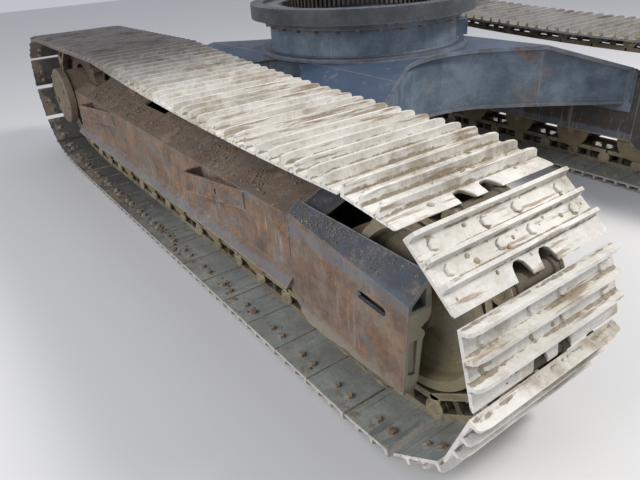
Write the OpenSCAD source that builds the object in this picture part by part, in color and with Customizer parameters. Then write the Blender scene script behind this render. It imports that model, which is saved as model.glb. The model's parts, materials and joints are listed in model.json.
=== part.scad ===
// Lower structure of a 12 to 14 tonne crawler excavator: two track units, the X-shaped car body
// between them, the slewing ring on its turret and the centre swivel joint. Millimetres.
// Origin on the ground below the slewing axis, +X to the idlers, +Y to the left track, +Z up.

/* [Track chain] */
// Distance from pin to pin
pitch = 175; // [160:1:190]
// Width of a track shoe
shoe_w = 500; // [400:10:600]
// Thickness of a shoe plate
shoe_t = 9; // [7:0.5:12]
// Height of the grouser ridges over the plate
ridge_h = 25; // [16:1:32]
// Width of a grouser ridge at its tip
ridge_tip = 7; // [5:1:10]
// Height from the pin line to the shoe plate's inner face
pin_to_shoe = 33; // [28:1:38]
// Height from the pin line to the rail that the rollers run on
pin_to_rail = 43; // [36:1:48]
// Distance across the outer faces of the two link rows
chain_w = 180; // [160:2:200]
// Thickness of one link row
link_t = 38; // [30:1:44]
// Radius of the chain bushings
bush_r = 29; // [24:0.5:32]

/* [Layout] */
// Distance between the middles of the two tracks
gauge = 1990; // [1800:10:2200]
// Distance from the sprocket axis to the idler axis
tumbler = 2940; // [2700:10:3200]
// Height of the sprocket axis over the idler axis
drive_rise = 41; // [20:1:60]
// Radius of the pin circle round the idler
idler_pin_r = 290; // [270:1:305]
// Number of sprocket teeth, two to each chain pitch
teeth = 21; // [19:2:23]
// Place of the carrier roller along the frame
carrier_x = -340; // [-500:10:0]
// Sag of the upper run between the idler and the carrier roller
sag = 22; // [0:1:40]
// Width of a sprocket tooth
tooth_w = 54; // [40:1:64]

/* [Rollers] */
// Number of bottom rollers on a side
rollers = 7; // [5:1:8]
// Place of the last bottom roller
roller_rear_x = -1030; // [-1080:5:-900]
// Place of the first bottom roller
roller_front_x = 1010; // [900:5:1060]
// Radius of a bottom roller's tread
roller_r = 72; // [62:1:78]
// Height of a roller flange over its tread
roller_flange = 18; // [12:1:22]
// Radius of the carrier roller's tread
carrier_r = 42; // [34:1:46]

/* [Track frame] */
// Distance from the track's middle to the frame's outer side
frame_out = 132; // [122:1:140]
// Distance from the track's middle to the frame's inner side
frame_in = 130; // [122:1:140]
// How far the sloping top runs past the track's middle
slope_in = 60; // [30:5:80]
// Thickness of the frame's plates
frame_t = 12; // [8:1:16]
// Height of the frame's top face
frame_top = 522; // [505:1:530]
// Height of the bend between the outer side and the sloping top
bend_z = 445; // [430:5:450]
// Height of the frame's floor plate
floor_z = 285; // [280:1:300]
// Height of the lower edge of the skirts
skirt_z = 205; // [195:1:220]
// How far the outer skirt kicks out at its lower edge
skirt_out = 33; // [15:1:45]
// Place of the joint between the frame and its front section
joint_x = 998; // [960:2:1060]
// Distance from the sprocket's axis to the closed part of the frame
drive_gap = 330; // [320:5:360]
// Length of the opening in the sloping top round the carrier roller
carrier_open = 260; // [160:10:300]

/* [Front sections] */
// How far the front section reaches past the idler axis
guide_reach = 70; // [50:5:90]
// How far the front section flares out towards its front end
guide_flare = 34; // [0:1:45]
// Height of the bend at the front end
guide_bend_z = 424; // [400:2:445]
// Height of the lower edge of the front section
guide_low = 137; // [125:1:160]
// Rise of the lower edge towards the front end
low_rise = 16; // [2:1:24]
// Distance from the chain to the upper lip
lip_gap = 8; // [6:1:20]
// Length of the slot in the outer side
slot_len = 120; // [80:2:160]
// Height of the slot in the outer side
slot_h = 26; // [16:1:34]
// Width of the end plate
end_plate_w = 76; // [64:1:78]

/* [Steps] */
// Front end of the front step
step_front_x = 720; // [600:10:800]
// Front end of the rear step
step_rear_x = -638; // [-700:10:-500]
// Length of a step along the frame
step_len = 330; // [260:10:380]
// How far a step stands out from the frame
step_out = 76; // [50:2:84]
// Height of a step plate
step_h = 72; // [50:2:90]
// Thickness of a step plate
step_t = 10; // [6:1:14]
// Height of the upright slot in a step plate
step_slot = 26; // [14:2:40]

/* [Car body] */
// Distance from the slewing axis to the deck's edge in the front and rear notches
notch_x = 505; // [490:5:540]
// Radius of the front and rear notches
notch_r = 460; // [430:5:500]
// Distance from the slewing axis to the deck's edge in the side notches
waist_y = 450; // [430:5:455]
// Radius of the side notches
waist_r = 350; // [300:5:360]
// Half width of the flat deck, where the legs bend down
deck_y = 460; // [450:2:480]
// Place of the legs' front edge at that bend
bend_edge_x = 745; // [720:5:770]
// Place of the legs' front edge at the track frames
leg_front_x = 968; // [930:2:980]
// Place of the legs' rear edge at the track frames
leg_rear_x = 600; // [540:5:640]
// Height of the deck
deck_z = 684; // [660:2:700]
// Height of the legs' top at the track frames
leg_top = 542; // [520:2:560]
// Height of the car body's underside in the middle
belly_z = 405; // [380:5:420]
// Height of the legs' underside at the track frames
leg_low = 376; // [350:2:400]
// Thickness of the deck and the legs' top plates
deck_t = 18; // [12:1:25]
// Thickness of the bottom plates
belly_t = 14; // [10:1:20]
// How far the side walls stand back under the top plates
overhang = 22; // [10:1:35]
// How far the bottom plates stand out from the side walls
rim = 9; // [5:1:14]
// Thickness of the end plates on the track frames
end_t = 22; // [14:1:30]
// Radius of the well round the swivel joint
well_r = 300; // [260:5:340]

/* [Turret] */
// Radius of the turret tube
turret_r = 455; // [440:1:465]
// Wall of the turret tube
turret_wall = 28; // [20:1:36]
// How far the base plate stands out from the tube
base_out = 45; // [30:1:55]
// Thickness of the turret's base plate and of its top flange
flange_t = 16; // [12:1:22]
// How far the top flange stands out from the tube
flange_out = 25; // [20:1:28]
// Height of the turret's top face
turret_top = 830; // [800:5:850]

/* [Slewing ring] */
// Height of the slewing ring
ring_h = 76; // [70:1:90]
// Radial width of the outer race
outer_race_w = 58; // [48:1:70]
// Distance from the bolt circle to the outer edge
bolt_edge = 22; // [18:1:26]
// Number of bolts for the upper structure
bolt_count = 30; // [24:2:36]
// Radius of a bolt hole
bolt_r = 9; // [8:0.5:10]
// Number of teeth inside the slewing ring
ring_teeth = 92; // [80:2:96]

/* [Swivel joint] */
// Radius of the swivel joint's body
swivel_r = 88; // [80:1:100]
// Radius of its bore
swivel_bore = 60; // [50:1:66]
// Height of the swivel joint's body
swivel_h = 300; // [260:5:320]
// Number of hose ports round the body and round the rotor
ports = 6; // [4:1:8]
// Radius of a hose port
port_r = 13; // [10:1:16]

/* [Hidden] */
$fn = 64;
running = 0.08;
seat = 0.3;

// Heights and places that follow from the sizes above
tip_h = pin_to_shoe + shoe_t + ridge_h;
pin_z = tip_h;
rail_z = pin_z + pin_to_rail;
idler_x = tumbler / 2;
drive_x = -tumbler / 2;
idler_z = pin_z + idler_pin_r;
drive_z = idler_z + drive_rise;
chain_half = chain_w / 2;
link_in = chain_half - link_t;

// The chain's path, in the plane of x and z. Angles are measured from +X towards +Z.
drive_r = pitch / (2 * sin(360 / teeth));
bend_x = roller_rear_x - 0.8 * pitch;
carrier_pin_z = drive_z + drive_r + 13;
function angle_to(c, p) = atan2(p[1] - c[1], p[0] - c[0]);
function span(a, b) = norm(b - a);
function touch(c, r, p, side) = angle_to(c, p) + side * acos(r / span(c, p));
function on_circle(c, r, a) = [c[0] + r * cos(a), c[1] + r * sin(a)];
drive_c = [drive_x, drive_z];
idler_c = [idler_x, idler_z];
bend_p = [bend_x, pin_z];
carrier_p = [carrier_x, carrier_pin_z];
drive_low_a = touch(drive_c, drive_r, bend_p, -1);
drive_top_a = touch(drive_c, drive_r, carrier_p, 1);
idler_top_a = touch(idler_c, idler_pin_r, carrier_p, -1);
drive_turn = 360 - drive_top_a + drive_low_a;
idler_turn = idler_top_a + 90;
drive_step = 720 / teeth;
idler_step = 2 * asin(pitch / (2 * idler_pin_r));
p_low = on_circle(drive_c, drive_r, drive_low_a);
p_top = on_circle(drive_c, drive_r, drive_top_a);
p_idler = on_circle(idler_c, idler_pin_r, idler_top_a);
p_foot = [idler_x, pin_z];
// Lengths of the six stretches, counted in pitches
u_drive = drive_turn / drive_step;
u_rear = span(p_top, carrier_p) / pitch;
u_front = span(carrier_p, p_idler) / pitch;
u_idler = idler_turn / idler_step;
u_ground = span(p_foot, bend_p) / pitch;
u_rise = span(bend_p, p_low) / pitch;
u_rest = u_rear + u_front + u_idler + u_ground + u_rise;
links = round(u_drive + u_rest);
ease = u_rest / (links - u_drive);

function mix(a, b, t) = a + (b - a) * t;
function sagging(t) = [0, -4 * sag * t * (1 - t)];
function rest_pin(s) =
    s < u_rear ? mix(p_top, carrier_p, s / u_rear) :
    s < u_rear + u_front ? front_pin((s - u_rear) / u_front) :
    s < u_rear + u_front + u_idler ? idler_pin((s - u_rear - u_front) / u_idler) :
    s < u_rest - u_rise ? mix(p_foot, bend_p, (s - u_rear - u_front - u_idler) / u_ground) :
    mix(bend_p, p_low, (s - u_rest + u_rise) / u_rise);
function front_pin(t) = mix(carrier_p, p_idler, t) + sagging(t);
function idler_pin(t) = on_circle(idler_c, idler_pin_r, idler_top_a - idler_turn * t);
function drive_pin(u) = on_circle(drive_c, drive_r, drive_low_a - drive_step * u);
function pin(u) = u < u_drive ? drive_pin(u) : rest_pin((u - u_drive) * ease);
function link_pin(i) = pin((i + 0.5) % links);
function link_a(i) = angle_to(link_pin(i), link_pin(i + 1));
pins = [for (i = [0 : links - 1]) link_pin(i)];
// A point of the chain, h outwards from the pin line, where two links meet
function corner(i, h) =
    let (a = link_a((i + links - 1) % links), b = link_a(i), turn = (b - a + 540) % 360 - 180)
    pins[i] + h / cos(turn / 2) * [-sin(a + turn / 2), cos(a + turn / 2)];
// Height of the upper run's rail at the carrier roller
carrier_link = [for (i = [0 : links - 1]) if (link_pin(i)[0] <= carrier_x
    && link_pin(i + 1)[0] > carrier_x && link_pin(i)[1] > idler_z) i][0];
function along(a, b, x) = a[1] + (b[1] - a[1]) * (x - a[0]) / (b[0] - a[0]);
carrier_rail_z = along(link_pin(carrier_link), link_pin(carrier_link + 1), carrier_x)
    - pin_to_rail / cos(link_a(carrier_link));
carrier_z = carrier_rail_z - carrier_r - 2 * seat;

roller_z = rail_z + roller_r + seat;
collar_out = frame_in - frame_t - 2;
idler_r = sqrt(pow(idler_pin_r, 2) - pow(pitch / 2, 2)) - pin_to_rail - 5;
axle_r = 35;
yoke_out = frame_in - frame_t - seat;
yoke_t = 17;
yoke_reach = 42;
yoke_len = 330;
stem_len = 140;
guide_x = idler_x + guide_reach;
drum_r = 146;
cover_r = 162;
drive_disc_r = 212;
frame_rear_x = drive_x + drum_r + 6;
box_rear_x = drive_x + drive_gap;
frame_face = gauge / 2 - frame_in;
lip_y = chain_half + lip_gap;

// Puts a track unit's piece on its side: the children have +Y pointing away from the machine
module side(s) {
    translate([0, s * gauge / 2, 0]) mirror([0, s < 0 ? 1 : 0, 0]) children();
}

// Extrudes an outline drawn in x and z between two places on y
module plate_y(y0, y1) {
    translate([0, y1, 0]) rotate([90, 0, 0]) linear_extrude(y1 - y0) children();
}

// Extrudes an outline drawn in y and z between two places on x
module plate_x(x0, x1) {
    translate([x0, 0, 0]) rotate([90, 0, 90]) linear_extrude(x1 - x0) children();
}

// A shaft or drum along y
module drum(x, z, r, y0, y1) {
    translate([x, y0, z]) rotate([-90, 0, 0]) cylinder(r = r, h = y1 - y0);
}

// A turned piece whose axis lies along y, from its outline of radius and place on y
module turned_y(x, z, outline) {
    translate([x, 0, z]) rotate([-90, 0, 0]) rotate_extrude() polygon(outline);
}

// Outline of a slot with round ends
module slot(len, h) {
    square([len - h, h], center = true);
    for (m = [-1, 1]) translate([m * (len - h) / 2, 0]) circle(r = h / 2, $fn = 32);
}

// A point of a link, x along it from its middle and h outwards from the pin line
function of_link(i, x, h) = let (a = link_a(i), m = (link_pin(i) + link_pin(i + 1)) / 2)
    m + x * [cos(a), sin(a)] + h * [-sin(a), cos(a)];

// Outline of a triple-grouser shoe as points along the link and outwards, the front edge laps the next shoe
ridge_x = [-0.445 * pitch, -0.065 * pitch, 0.31 * pitch];
shoe_top = pin_to_shoe + shoe_t;
heel = 0.485 * pitch;
toe = 0.495 * pitch;
shoe_outline = [
    [-heel, pin_to_shoe], [-heel, tip_h], [ridge_x[0], tip_h], [ridge_x[0] + ridge_tip, shoe_top],
    [ridge_x[1] - ridge_tip, shoe_top], [ridge_x[1], tip_h], [ridge_x[1] + ridge_tip, shoe_top],
    [ridge_x[2] - ridge_tip, shoe_top], [ridge_x[2], tip_h], [toe, pin_to_shoe]];

// The closed loop of a link row, whose inner side is the rail that the rollers run on
module link_row() {
    difference() {
        polygon([for (i = [0 : links - 1], x = [-heel, toe]) of_link(i, x, pin_to_shoe)]);
        polygon([for (i = [0 : links - 1]) corner(i, -pin_to_rail)]);
    }
}

module track(s) {
    color([0.62, 0.6, 0.57]) side(s) union() {
        for (i = [0 : links - 1])
            plate_y(-shoe_w / 2, shoe_w / 2) polygon([for (p = shoe_outline) of_link(i, p[0], p[1])]);
        plate_y(link_in, chain_half) link_row();
        plate_y(-chain_half, -link_in) link_row();
    }
}

module sprocket(s) {
    phase = drive_low_a - 0.5 * drive_step;
    color([0.45, 0.4, 0.35]) side(s) translate([drive_x, 0, drive_z])
        plate_y(-tooth_w / 2, tooth_w / 2) difference() {
            circle(r = drive_r + 8);
            circle(r = drive_disc_r - 42);
            for (k = [0 : teeth - 1]) rotate(phase + k * 360 / teeth) {
                translate([drive_r, 0]) circle(r = bush_r + 2, $fn = 32);
                polygon([[drive_r, -bush_r - 2], [drive_r + 20, -bush_r - 9],
                    [drive_r + 20, bush_r + 9], [drive_r, bush_r + 2]]);
            }
        }
}

// A quarter of a round edge, as points from angle a0 to a1 round c
function arc(c, r, a0, a1, n) = [for (k = [0 : n]) on_circle(c, r, a0 + (a1 - a0) * k / n)];

// Reduction gear housing: sprocket flange, drum and the cover with its plugs
module final_drive(s) {
    inner = -tooth_w / 2 - 30;
    cover_in = 142;
    cover_out = 184;
    edge = 10;
    plug_at = 104;
    color([0.6, 0.5, 0.36]) side(s) union() {
        turned_y(drive_x, drive_z, concat(
            [[0, inner - 10], [drum_r - 28, inner - 10], [drum_r - 28, inner],
            [drive_disc_r, inner], [drive_disc_r, -tooth_w / 2 - seat],
            [drum_r + 12, -tooth_w / 2 - seat], [drum_r, -tooth_w / 2 + 12],
            [drum_r, cover_in - 12], [cover_r, cover_in]],
            arc([cover_r - edge, cover_out - edge], edge, 0, 90, 3),
            [[cover_r - 34, cover_out], [cover_r - 40, cover_out - 5], [72, cover_out - 5],
            [66, cover_out], [0, cover_out]]));
        for (a = [20, 200]) drum(drive_x + plug_at * cos(a), drive_z + plug_at * sin(a), 15,
            cover_out - 8, cover_out + 5);
    }
}

// Plate that carries the travel motor, with the motor and its end cover
module drive_bracket(s) {
    inner = -tooth_w / 2 - 40 - seat;
    boss_r = drum_r + 24;
    motor_r = 92;
    cap_r = 70;
    motor_end = -235;
    color([0.38, 0.4, 0.42]) side(s) union() {
        plate_y(-frame_in, inner) union() {
            translate([drive_x, drive_z]) circle(r = boss_r);
            polygon([[drive_x, drive_z - boss_r], [box_rear_x - seat, floor_z],
                [box_rear_x - seat, frame_top - 30], [drive_x, drive_z + boss_r]]);
        }
        turned_y(drive_x, drive_z, [[0, inner], [motor_r, inner], [motor_r, -frame_in - 22],
            [motor_r + 16, -frame_in - 22], [motor_r + 16, -frame_in - 38], [motor_r, -frame_in - 38],
            [motor_r, motor_end], [cap_r, motor_end - 8], [cap_r, motor_end - 24],
            [cap_r - 8, motor_end - 30], [0, motor_end - 30]]);
    }
}

// Section of the track frame in y and z
module frame_section(grow) {
    w = frame_out + grow;
    difference() {
        polygon([[w + skirt_out, skirt_z - grow], [w, skirt_z + skirt_out + 7], [w, bend_z],
            [-slope_in, frame_top], [-frame_in + 20, frame_top], [-frame_in, frame_top - 20],
            [-frame_in, skirt_z - 10]]);
        polygon([[w - frame_t, floor_z + frame_t], [w - frame_t, bend_z - 5],
            [-slope_in - 2, frame_top - frame_t], [-frame_in + 24, frame_top - frame_t],
            [-frame_in + frame_t, frame_top - 24], [-frame_in + frame_t, floor_z + frame_t]]);
        polygon([[w + skirt_out - frame_t, skirt_z - 20], [w - frame_t, skirt_z + skirt_out + 3],
            [w - frame_t, floor_z], [-frame_in + frame_t, floor_z], [-frame_in + frame_t, skirt_z - 20]]);
    }
}

// Height of the sloping top at a distance from the track's middle
function slope_z(y) = bend_z + (frame_out - y) * (frame_top - bend_z) / (frame_out + slope_in);

// Outer half of the section, which runs on past the box between the final drive and the sprocket
module frame_shell() {
    w = frame_out;
    inner = tooth_w / 2 + 15;
    polygon([[w, skirt_z + skirt_out + 7], [w, bend_z], [inner, slope_z(inner)],
        [inner, slope_z(inner) - frame_t - 4], [w - frame_t, bend_z - 5],
        [w - frame_t, skirt_z + skirt_out + 3], [w + skirt_out - frame_t, skirt_z],
        [w + skirt_out, skirt_z]]);
}

module frame(s) {
    foot_in = frame_in - 40;
    color([0.42, 0.36, 0.31]) side(s) difference() {
        union() {
            plate_x(box_rear_x, joint_x) frame_section(0);
            plate_x(frame_rear_x, box_rear_x + 1) frame_shell();
        }
        // Opening under the carrier roller, beside the strip that its bracket stands on
        translate([carrier_x - carrier_open / 2, -foot_in, bend_z]) cube([carrier_open, foot_in + 12, 100]);
    }
}

// Outer wall of the front section: it flares outwards and its bend falls towards the front end, the
// sloping top ends in a lip beside the chain
guide_grow = 4;
guide_rear_z = bend_z + 13;
lip_rise = 0.84;
kick_rise = 1.7;
module guide_wall() {
    run = guide_x - joint_x;
    fall_a = atan((guide_rear_z - guide_bend_z) / norm([run, guide_flare]));
    far = 100;
    knee = guide_bend_z - guide_low - 7;
    kick = 60;
    intersection() {
        translate([joint_x, frame_out + guide_grow, guide_rear_z])
            rotate([0, fall_a, atan(guide_flare / run)]) plate_x(-40, run + 60) polygon([
                [0, 0], [-far, far * lip_rise], [-far, far * lip_rise - frame_t - 4],
                [-frame_t, -5], [-frame_t, -knee - 4], [kick / kick_rise - frame_t, -knee - kick - 4],
                [kick / kick_rise, -knee - kick], [0, -knee]]);
        plate_x(joint_x + seat, guide_x + 20) translate([lip_y, guide_low]) square([200, 400]);
    }
}

// End plate of the front section in y and z: its notch clears the yoke, and under the top it stays open
module end_plate(front_w, lip) {
    a = front_w - end_plate_w;
    edge = front_w - 5;
    polygon([[edge, guide_low], [edge, idler_z + 50], [a + 20, idler_z + 48], [a + 20, lip - 21],
        [a + 8, lip - 10], [a, idler_z + 46], [a, idler_z + 14], [a + 7, idler_z + 1],
        [a + 30, idler_z - 11], [a + 16, idler_z - 30], [a + 15, idler_z - 40], [a + 21, idler_z - 52],
        [a + 25, guide_low + 50], [a + 38, guide_low]]);
}

module guide(s) {
    rear_w = frame_out + guide_grow;
    front_w = rear_w + guide_flare;
    inner_in = frame_in + guide_grow;
    lean = 14;
    front_x = guide_x + 10;
    plate_at = idler_x + yoke_reach + seat;
    lip = guide_bend_z + (front_w - lip_y) * lip_rise;
    panel_in = front_w - end_plate_w + 40;
    color([0.36, 0.4, 0.43]) side(s) difference() {
        union() {
            guide_wall();
            // The closed box behind the idler's yoke
            plate_x(joint_x + seat, joint_x + 100) intersection() {
                frame_section(guide_grow);
                union() {
                    translate([-200, floor_z - 1]) square([rear_w + 199, 300]);
                    translate([-200, 0]) square([200, 300]);
                }
            }
            plate_y(-inner_in, -frame_in + frame_t) polygon([[joint_x + seat, guide_low],
                [joint_x + seat, frame_top - 20], [joint_x + 110, frame_top - 20],
                [idler_x - 60, frame_top - 50], [front_x, idler_z + 66], [front_x, guide_low]]);
            plate_x(plate_at, front_x) end_plate(front_w, lip);
            plate_x(plate_at, front_x) polygon([[-inner_in, guide_low], [-inner_in, idler_z + 66],
                [-chain_half - 8, idler_z + 66], [-chain_half - 8, guide_low]]);
        }
        // The end leans back towards its foot
        plate_y(-250, 250) polygon([[guide_x, frame_top], [guide_x, guide_bend_z - 12],
            [guide_x - lean, guide_low - 1], [guide_x + 100, guide_low - 1], [guide_x + 100, frame_top]]);
        // Rounded rear corner of the lower edge
        plate_y(-250, 250) polygon([[joint_x - 5, 0], [joint_x - 5, skirt_z - 4],
            [joint_x + 22, skirt_z - 24], [joint_x + 62, guide_low + 12], [joint_x + 112, guide_low],
            [joint_x + 112, 0]]);
        // Slot in the outer side
        plate_y(rear_w - 20, front_w + 40) translate([guide_x - 82 - slot_len / 2, idler_z + 3])
            slot(slot_len, slot_h);
        // Recess in the outer end plate
        plate_x(guide_x - lean - 2, front_x + 1) polygon([[panel_in, guide_low + 68],
            [front_w - 14, guide_low + 75], [front_w - 12, idler_z - 45], [panel_in, idler_z - 43]]);
        // The lower edge rises towards the front end
        plate_y(-250, 250) polygon([[joint_x + 150, guide_low - 1], [front_x + 1, guide_low + low_rise],
            [front_x + 1, guide_low - 1]]);
    }
}

module yoke(s) {
    back = idler_x - yoke_len;
    arm_x = idler_x + yoke_reach;
    color([0.4, 0.38, 0.34]) side(s) difference() {
        union() {
            for (m = [0, 1]) mirror([0, m, 0]) plate_y(yoke_out - yoke_t, yoke_out)
                polygon([[back, idler_z - 60], [arm_x, idler_z - 48], [arm_x, idler_z + 48],
                    [back, idler_z + 60]]);
            plate_x(back, back + 50) translate([0, idler_z]) square([2 * yoke_out, 120], center = true);
            translate([back - stem_len, 0, idler_z]) rotate([0, 90, 0])
                cylinder(r = 40, h = stem_len + 10);
        }
        drum(idler_x, idler_z, axle_r + running, -200, 200);
    }
}

module recoil_spring(s) {
    front = idler_x - yoke_len - stem_len - seat;
    coils = 11;
    length = 440;
    wire_out = idler_z - floor_z - frame_t - 2;
    wire_in = wire_out - 16;
    color([0.3, 0.3, 0.3]) side(s) translate([front - length, 0, idler_z]) rotate([0, 90, 0])
        rotate_extrude() polygon(concat([[0, 0], [wire_in, 0]],
            [for (k = [0 : coils - 1],
                e = [[wire_in, 0.1], [wire_out, 0.3], [wire_out, 0.7], [wire_in, 0.9]])
                [e[0], (k + e[1]) * length / coils]],
            [[wire_in, length], [0, length]]));
}

module idler(s) {
    b = axle_r + running;
    flange = min(22, idler_pin_r - bush_r - idler_r - 8);
    out = chain_half - 2;
    mid = link_in - 6;
    hub_r = 66;
    hub_out = 85;
    web_out = 36;
    dish_r = 40;
    rim_r = idler_r - 26;
    // Outer half of the section, from the tread inwards over the dish to the bore
    half = concat([[idler_r + flange, mid - 6], [idler_r, mid], [idler_r, out], [rim_r, out]],
        arc([rim_r - dish_r - 5, web_out + dish_r], dish_r, 0, -90, 3),
        arc([hub_r + 26, web_out + 26], 26, -90, -180, 3), [[hub_r, hub_out], [b, hub_out]]);
    color([0.46, 0.44, 0.37]) side(s) turned_y(idler_x, idler_z,
        concat(half, [for (i = [len(half) - 1 : -1 : 0]) [half[i][0], -half[i][1]]]));
}

module idler_axle(s) {
    color([0.5, 0.5, 0.5]) side(s) drum(idler_x, idler_z, axle_r, -yoke_out, yoke_out);
}

module bottom_rollers(s) {
    step = (roller_front_x - roller_rear_x) / (rollers - 1);
    f = roller_r + roller_flange;
    color([0.33, 0.28, 0.25]) side(s) for (k = [0 : rollers - 1]) {
        x = roller_rear_x + k * step;
        union() {
            turned_y(x, roller_z, [[0, -chain_half - 18], [60, -chain_half - 18], [f, -chain_half - 14],
                [f, -chain_half - 4], [roller_r, -chain_half - 2], [roller_r, -link_in + 6],
                [56, -link_in + 8], [56, link_in - 8], [roller_r, link_in - 6],
                [roller_r, chain_half + 2], [f, chain_half + 4], [f, chain_half + 14],
                [60, chain_half + 18], [0, chain_half + 18]]);
            for (m = [0, 1]) mirror([0, m, 0]) plate_y(chain_half + 16, collar_out) polygon([
                [x - 34, floor_z - seat], [x - 34, roller_z - 10], [x - 18, roller_z - 34],
                [x + 18, roller_z - 34], [x + 34, roller_z - 10], [x + 34, floor_z - seat]]);
        }
    }
}

module carrier_roller(s) {
    r = carrier_r;
    color([0.33, 0.28, 0.25]) side(s) union() {
        turned_y(carrier_x, carrier_z, [[0, -chain_half - 14], [r + 8, -chain_half - 14],
            [r + 8, -chain_half - 4], [r, -chain_half - 2], [r, chain_half + 2],
            [r + 8, chain_half + 4], [r + 8, chain_half + 8], [0, chain_half + 8]]);
        plate_y(-frame_in + 20, -chain_half - 6) polygon([
            [carrier_x - 60, frame_top + seat], [carrier_x + 60, frame_top + seat],
            [carrier_x + 26, carrier_z + 10], [carrier_x - 26, carrier_z + 10]]);
    }
}

// A step: a plate that leaves the frame's side at its front end and turns back at its rear end
module step_outline(len, out, t) {
    difference() {
        polygon([[0, -t], [0, 0], [-len + 24, out], [-len + 6, out - 8], [-len, out - 24], [-len, -t]]);
        polygon([[-t * 4, -t * 2], [-t * 4, 0], [-len + 26, out - t], [-len + 14, out - t - 6],
            [-len + t, out - 26], [-len + t, -t * 2]]);
    }
}

module steps(s) {
    base_z = bend_z - 5 - step_h;
    color([0.45, 0.37, 0.31]) side(s) for (x = [step_front_x, step_rear_x])
        translate([x, frame_out + seat, base_z]) difference() {
            linear_extrude(step_h) intersection() {
                step_outline(step_len, step_out, step_t);
                translate([-step_len, 0]) square([step_len, step_out]);
            }
            plate_y(1, step_out) translate([-0.44 * step_len, 0.5 * step_h]) rotate(90)
                slot(step_slot, 12);
        }
}

// A quarter of the car body's plan, on +X and +Y. d draws its edges in.
module body_quarter(d) {
    front = [notch_x + notch_r - d, 0];
    bend = [bend_edge_x - d, deck_y];
    waist = [0, waist_y + waist_r - d];
    heel = [leg_rear_x + d, frame_face];
    side_t = on_circle(waist, waist_r, touch(waist, waist_r, heel, -1));
    front_t = on_circle(front, notch_r, touch(front, notch_r, bend, 1));
    difference() {
        polygon([[-1, -1], [front[0], -1], front_t, bend, [leg_front_x - d, frame_face], heel, side_t,
            [-1, waist[1]]]);
        translate(front) circle(r = notch_r, $fn = 180);
        translate(waist) circle(r = waist_r, $fn = 180);
    }
}

// Plan of the flat middle of the car body
module core_plan(d) {
    intersection() {
        for (mx = [0, 1], my = [0, 1]) mirror([mx, 0]) mirror([0, my]) body_quarter(d);
        square([2 * bend_edge_x + 100, 2 * deck_y], center = true);
    }
}

module car_body_core() {
    color([0.3, 0.35, 0.42]) difference() {
        union() {
            translate([0, 0, deck_z - deck_t]) linear_extrude(deck_t) core_plan(0);
            translate([0, 0, belly_z]) linear_extrude(deck_z - belly_z - 1) core_plan(overhang);
            translate([0, 0, belly_z]) linear_extrude(belly_t) core_plan(overhang - rim);
        }
        translate([0, 0, belly_z + 20]) cylinder(r = well_r, h = deck_z);
        translate([0, 0, belly_z - 1]) cylinder(r = swivel_r + seat, h = 100);
    }
}

// A part of a leg: the plan with its edges drawn in by d, between an upper and a lower slanting plane
module leg_layer(d, up0, up1, low0, low1) {
    out = frame_face - end_t + 1;
    function slant(z0, z1) = z0 + (z1 - z0) * (out - deck_y) / (frame_face - deck_y);
    intersection() {
        linear_extrude(deck_z + 1) body_quarter(d);
        plate_x(0, leg_front_x + 10) polygon([[deck_y, low0], [deck_y, up0], [out, slant(up0, up1)],
            [out, slant(low0, low1)]]);
    }
}

// A leg of the X with its end plate on the track frame
module leg(sx, sy) {
    foot = 34;
    color([0.3, 0.35, 0.42]) mirror([sx < 0 ? 1 : 0, 0, 0]) mirror([0, sy < 0 ? 1 : 0, 0]) union() {
        leg_layer(0, deck_z, leg_top, deck_z - deck_t, leg_top - deck_t);
        leg_layer(overhang, deck_z - 1, leg_top - 1, belly_z, leg_low);
        leg_layer(overhang - rim, belly_z + belly_t, leg_low + belly_t, belly_z, leg_low);
        plate_y(frame_face - end_t, frame_face - seat) polygon([[leg_rear_x - 12, leg_low - foot],
            [leg_front_x + 8, leg_low - foot], [leg_front_x + 8, leg_top - 16], [leg_front_x - 6, leg_top],
            [leg_rear_x + 2, leg_top], [leg_rear_x - 12, leg_top - 16]]);
    }
}

// Turret: base plate, tube and top flange, with the stop lug of the slewing brake beside the tube
module turret() {
    lug_a = 57;
    lug = [70, 52, 74];
    color([0.32, 0.36, 0.42]) union() {
        rotate_extrude() polygon([[turret_r - 70, deck_z], [turret_r + base_out, deck_z],
            [turret_r + base_out, deck_z + flange_t],
            [turret_r + 6, deck_z + flange_t], [turret_r, deck_z + flange_t + 6],
            [turret_r, turret_top - flange_t], [turret_r + flange_out, turret_top - flange_t],
            [turret_r + flange_out, turret_top], [turret_r - turret_wall, turret_top],
            [turret_r - turret_wall, deck_z + flange_t], [turret_r - 70, deck_z + flange_t]]);
        rotate(lug_a) translate([turret_r - 3, -lug[1] / 2, deck_z + flange_t - 1]) cube(lug);
    }
}

// Slewing ring: the fixed inner race has the teeth, the outer race carries the upper structure
race_gap = 3;
race_r = turret_r + flange_out + 1;
ball_r = race_r + 10;
ball_z = turret_top + ring_h / 2;
ring_r = race_r + race_gap + outer_race_w;
bolt_circle_r = ring_r - bolt_edge;
module slew_inner_race() {
    root = turret_r - turret_wall - 14;
    step = 360 / ring_teeth;
    color([0.5, 0.5, 0.5]) difference() {
        union() {
            translate([0, 0, turret_top]) cylinder(r = race_r - 2, h = ring_h - 12);
            translate([0, 0, ball_z - 8]) cylinder(r = ball_r, h = 16);
        }
        translate([0, 0, turret_top - 1]) linear_extrude(ring_h) polygon([
            for (k = [0 : ring_teeth - 1], e = [[0, 0], [0.34, 0], [0.46, -18], [0.88, -18]])
                (root + e[1]) * [cos((k + e[0]) * step), sin((k + e[0]) * step)]]);
    }
}

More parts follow.
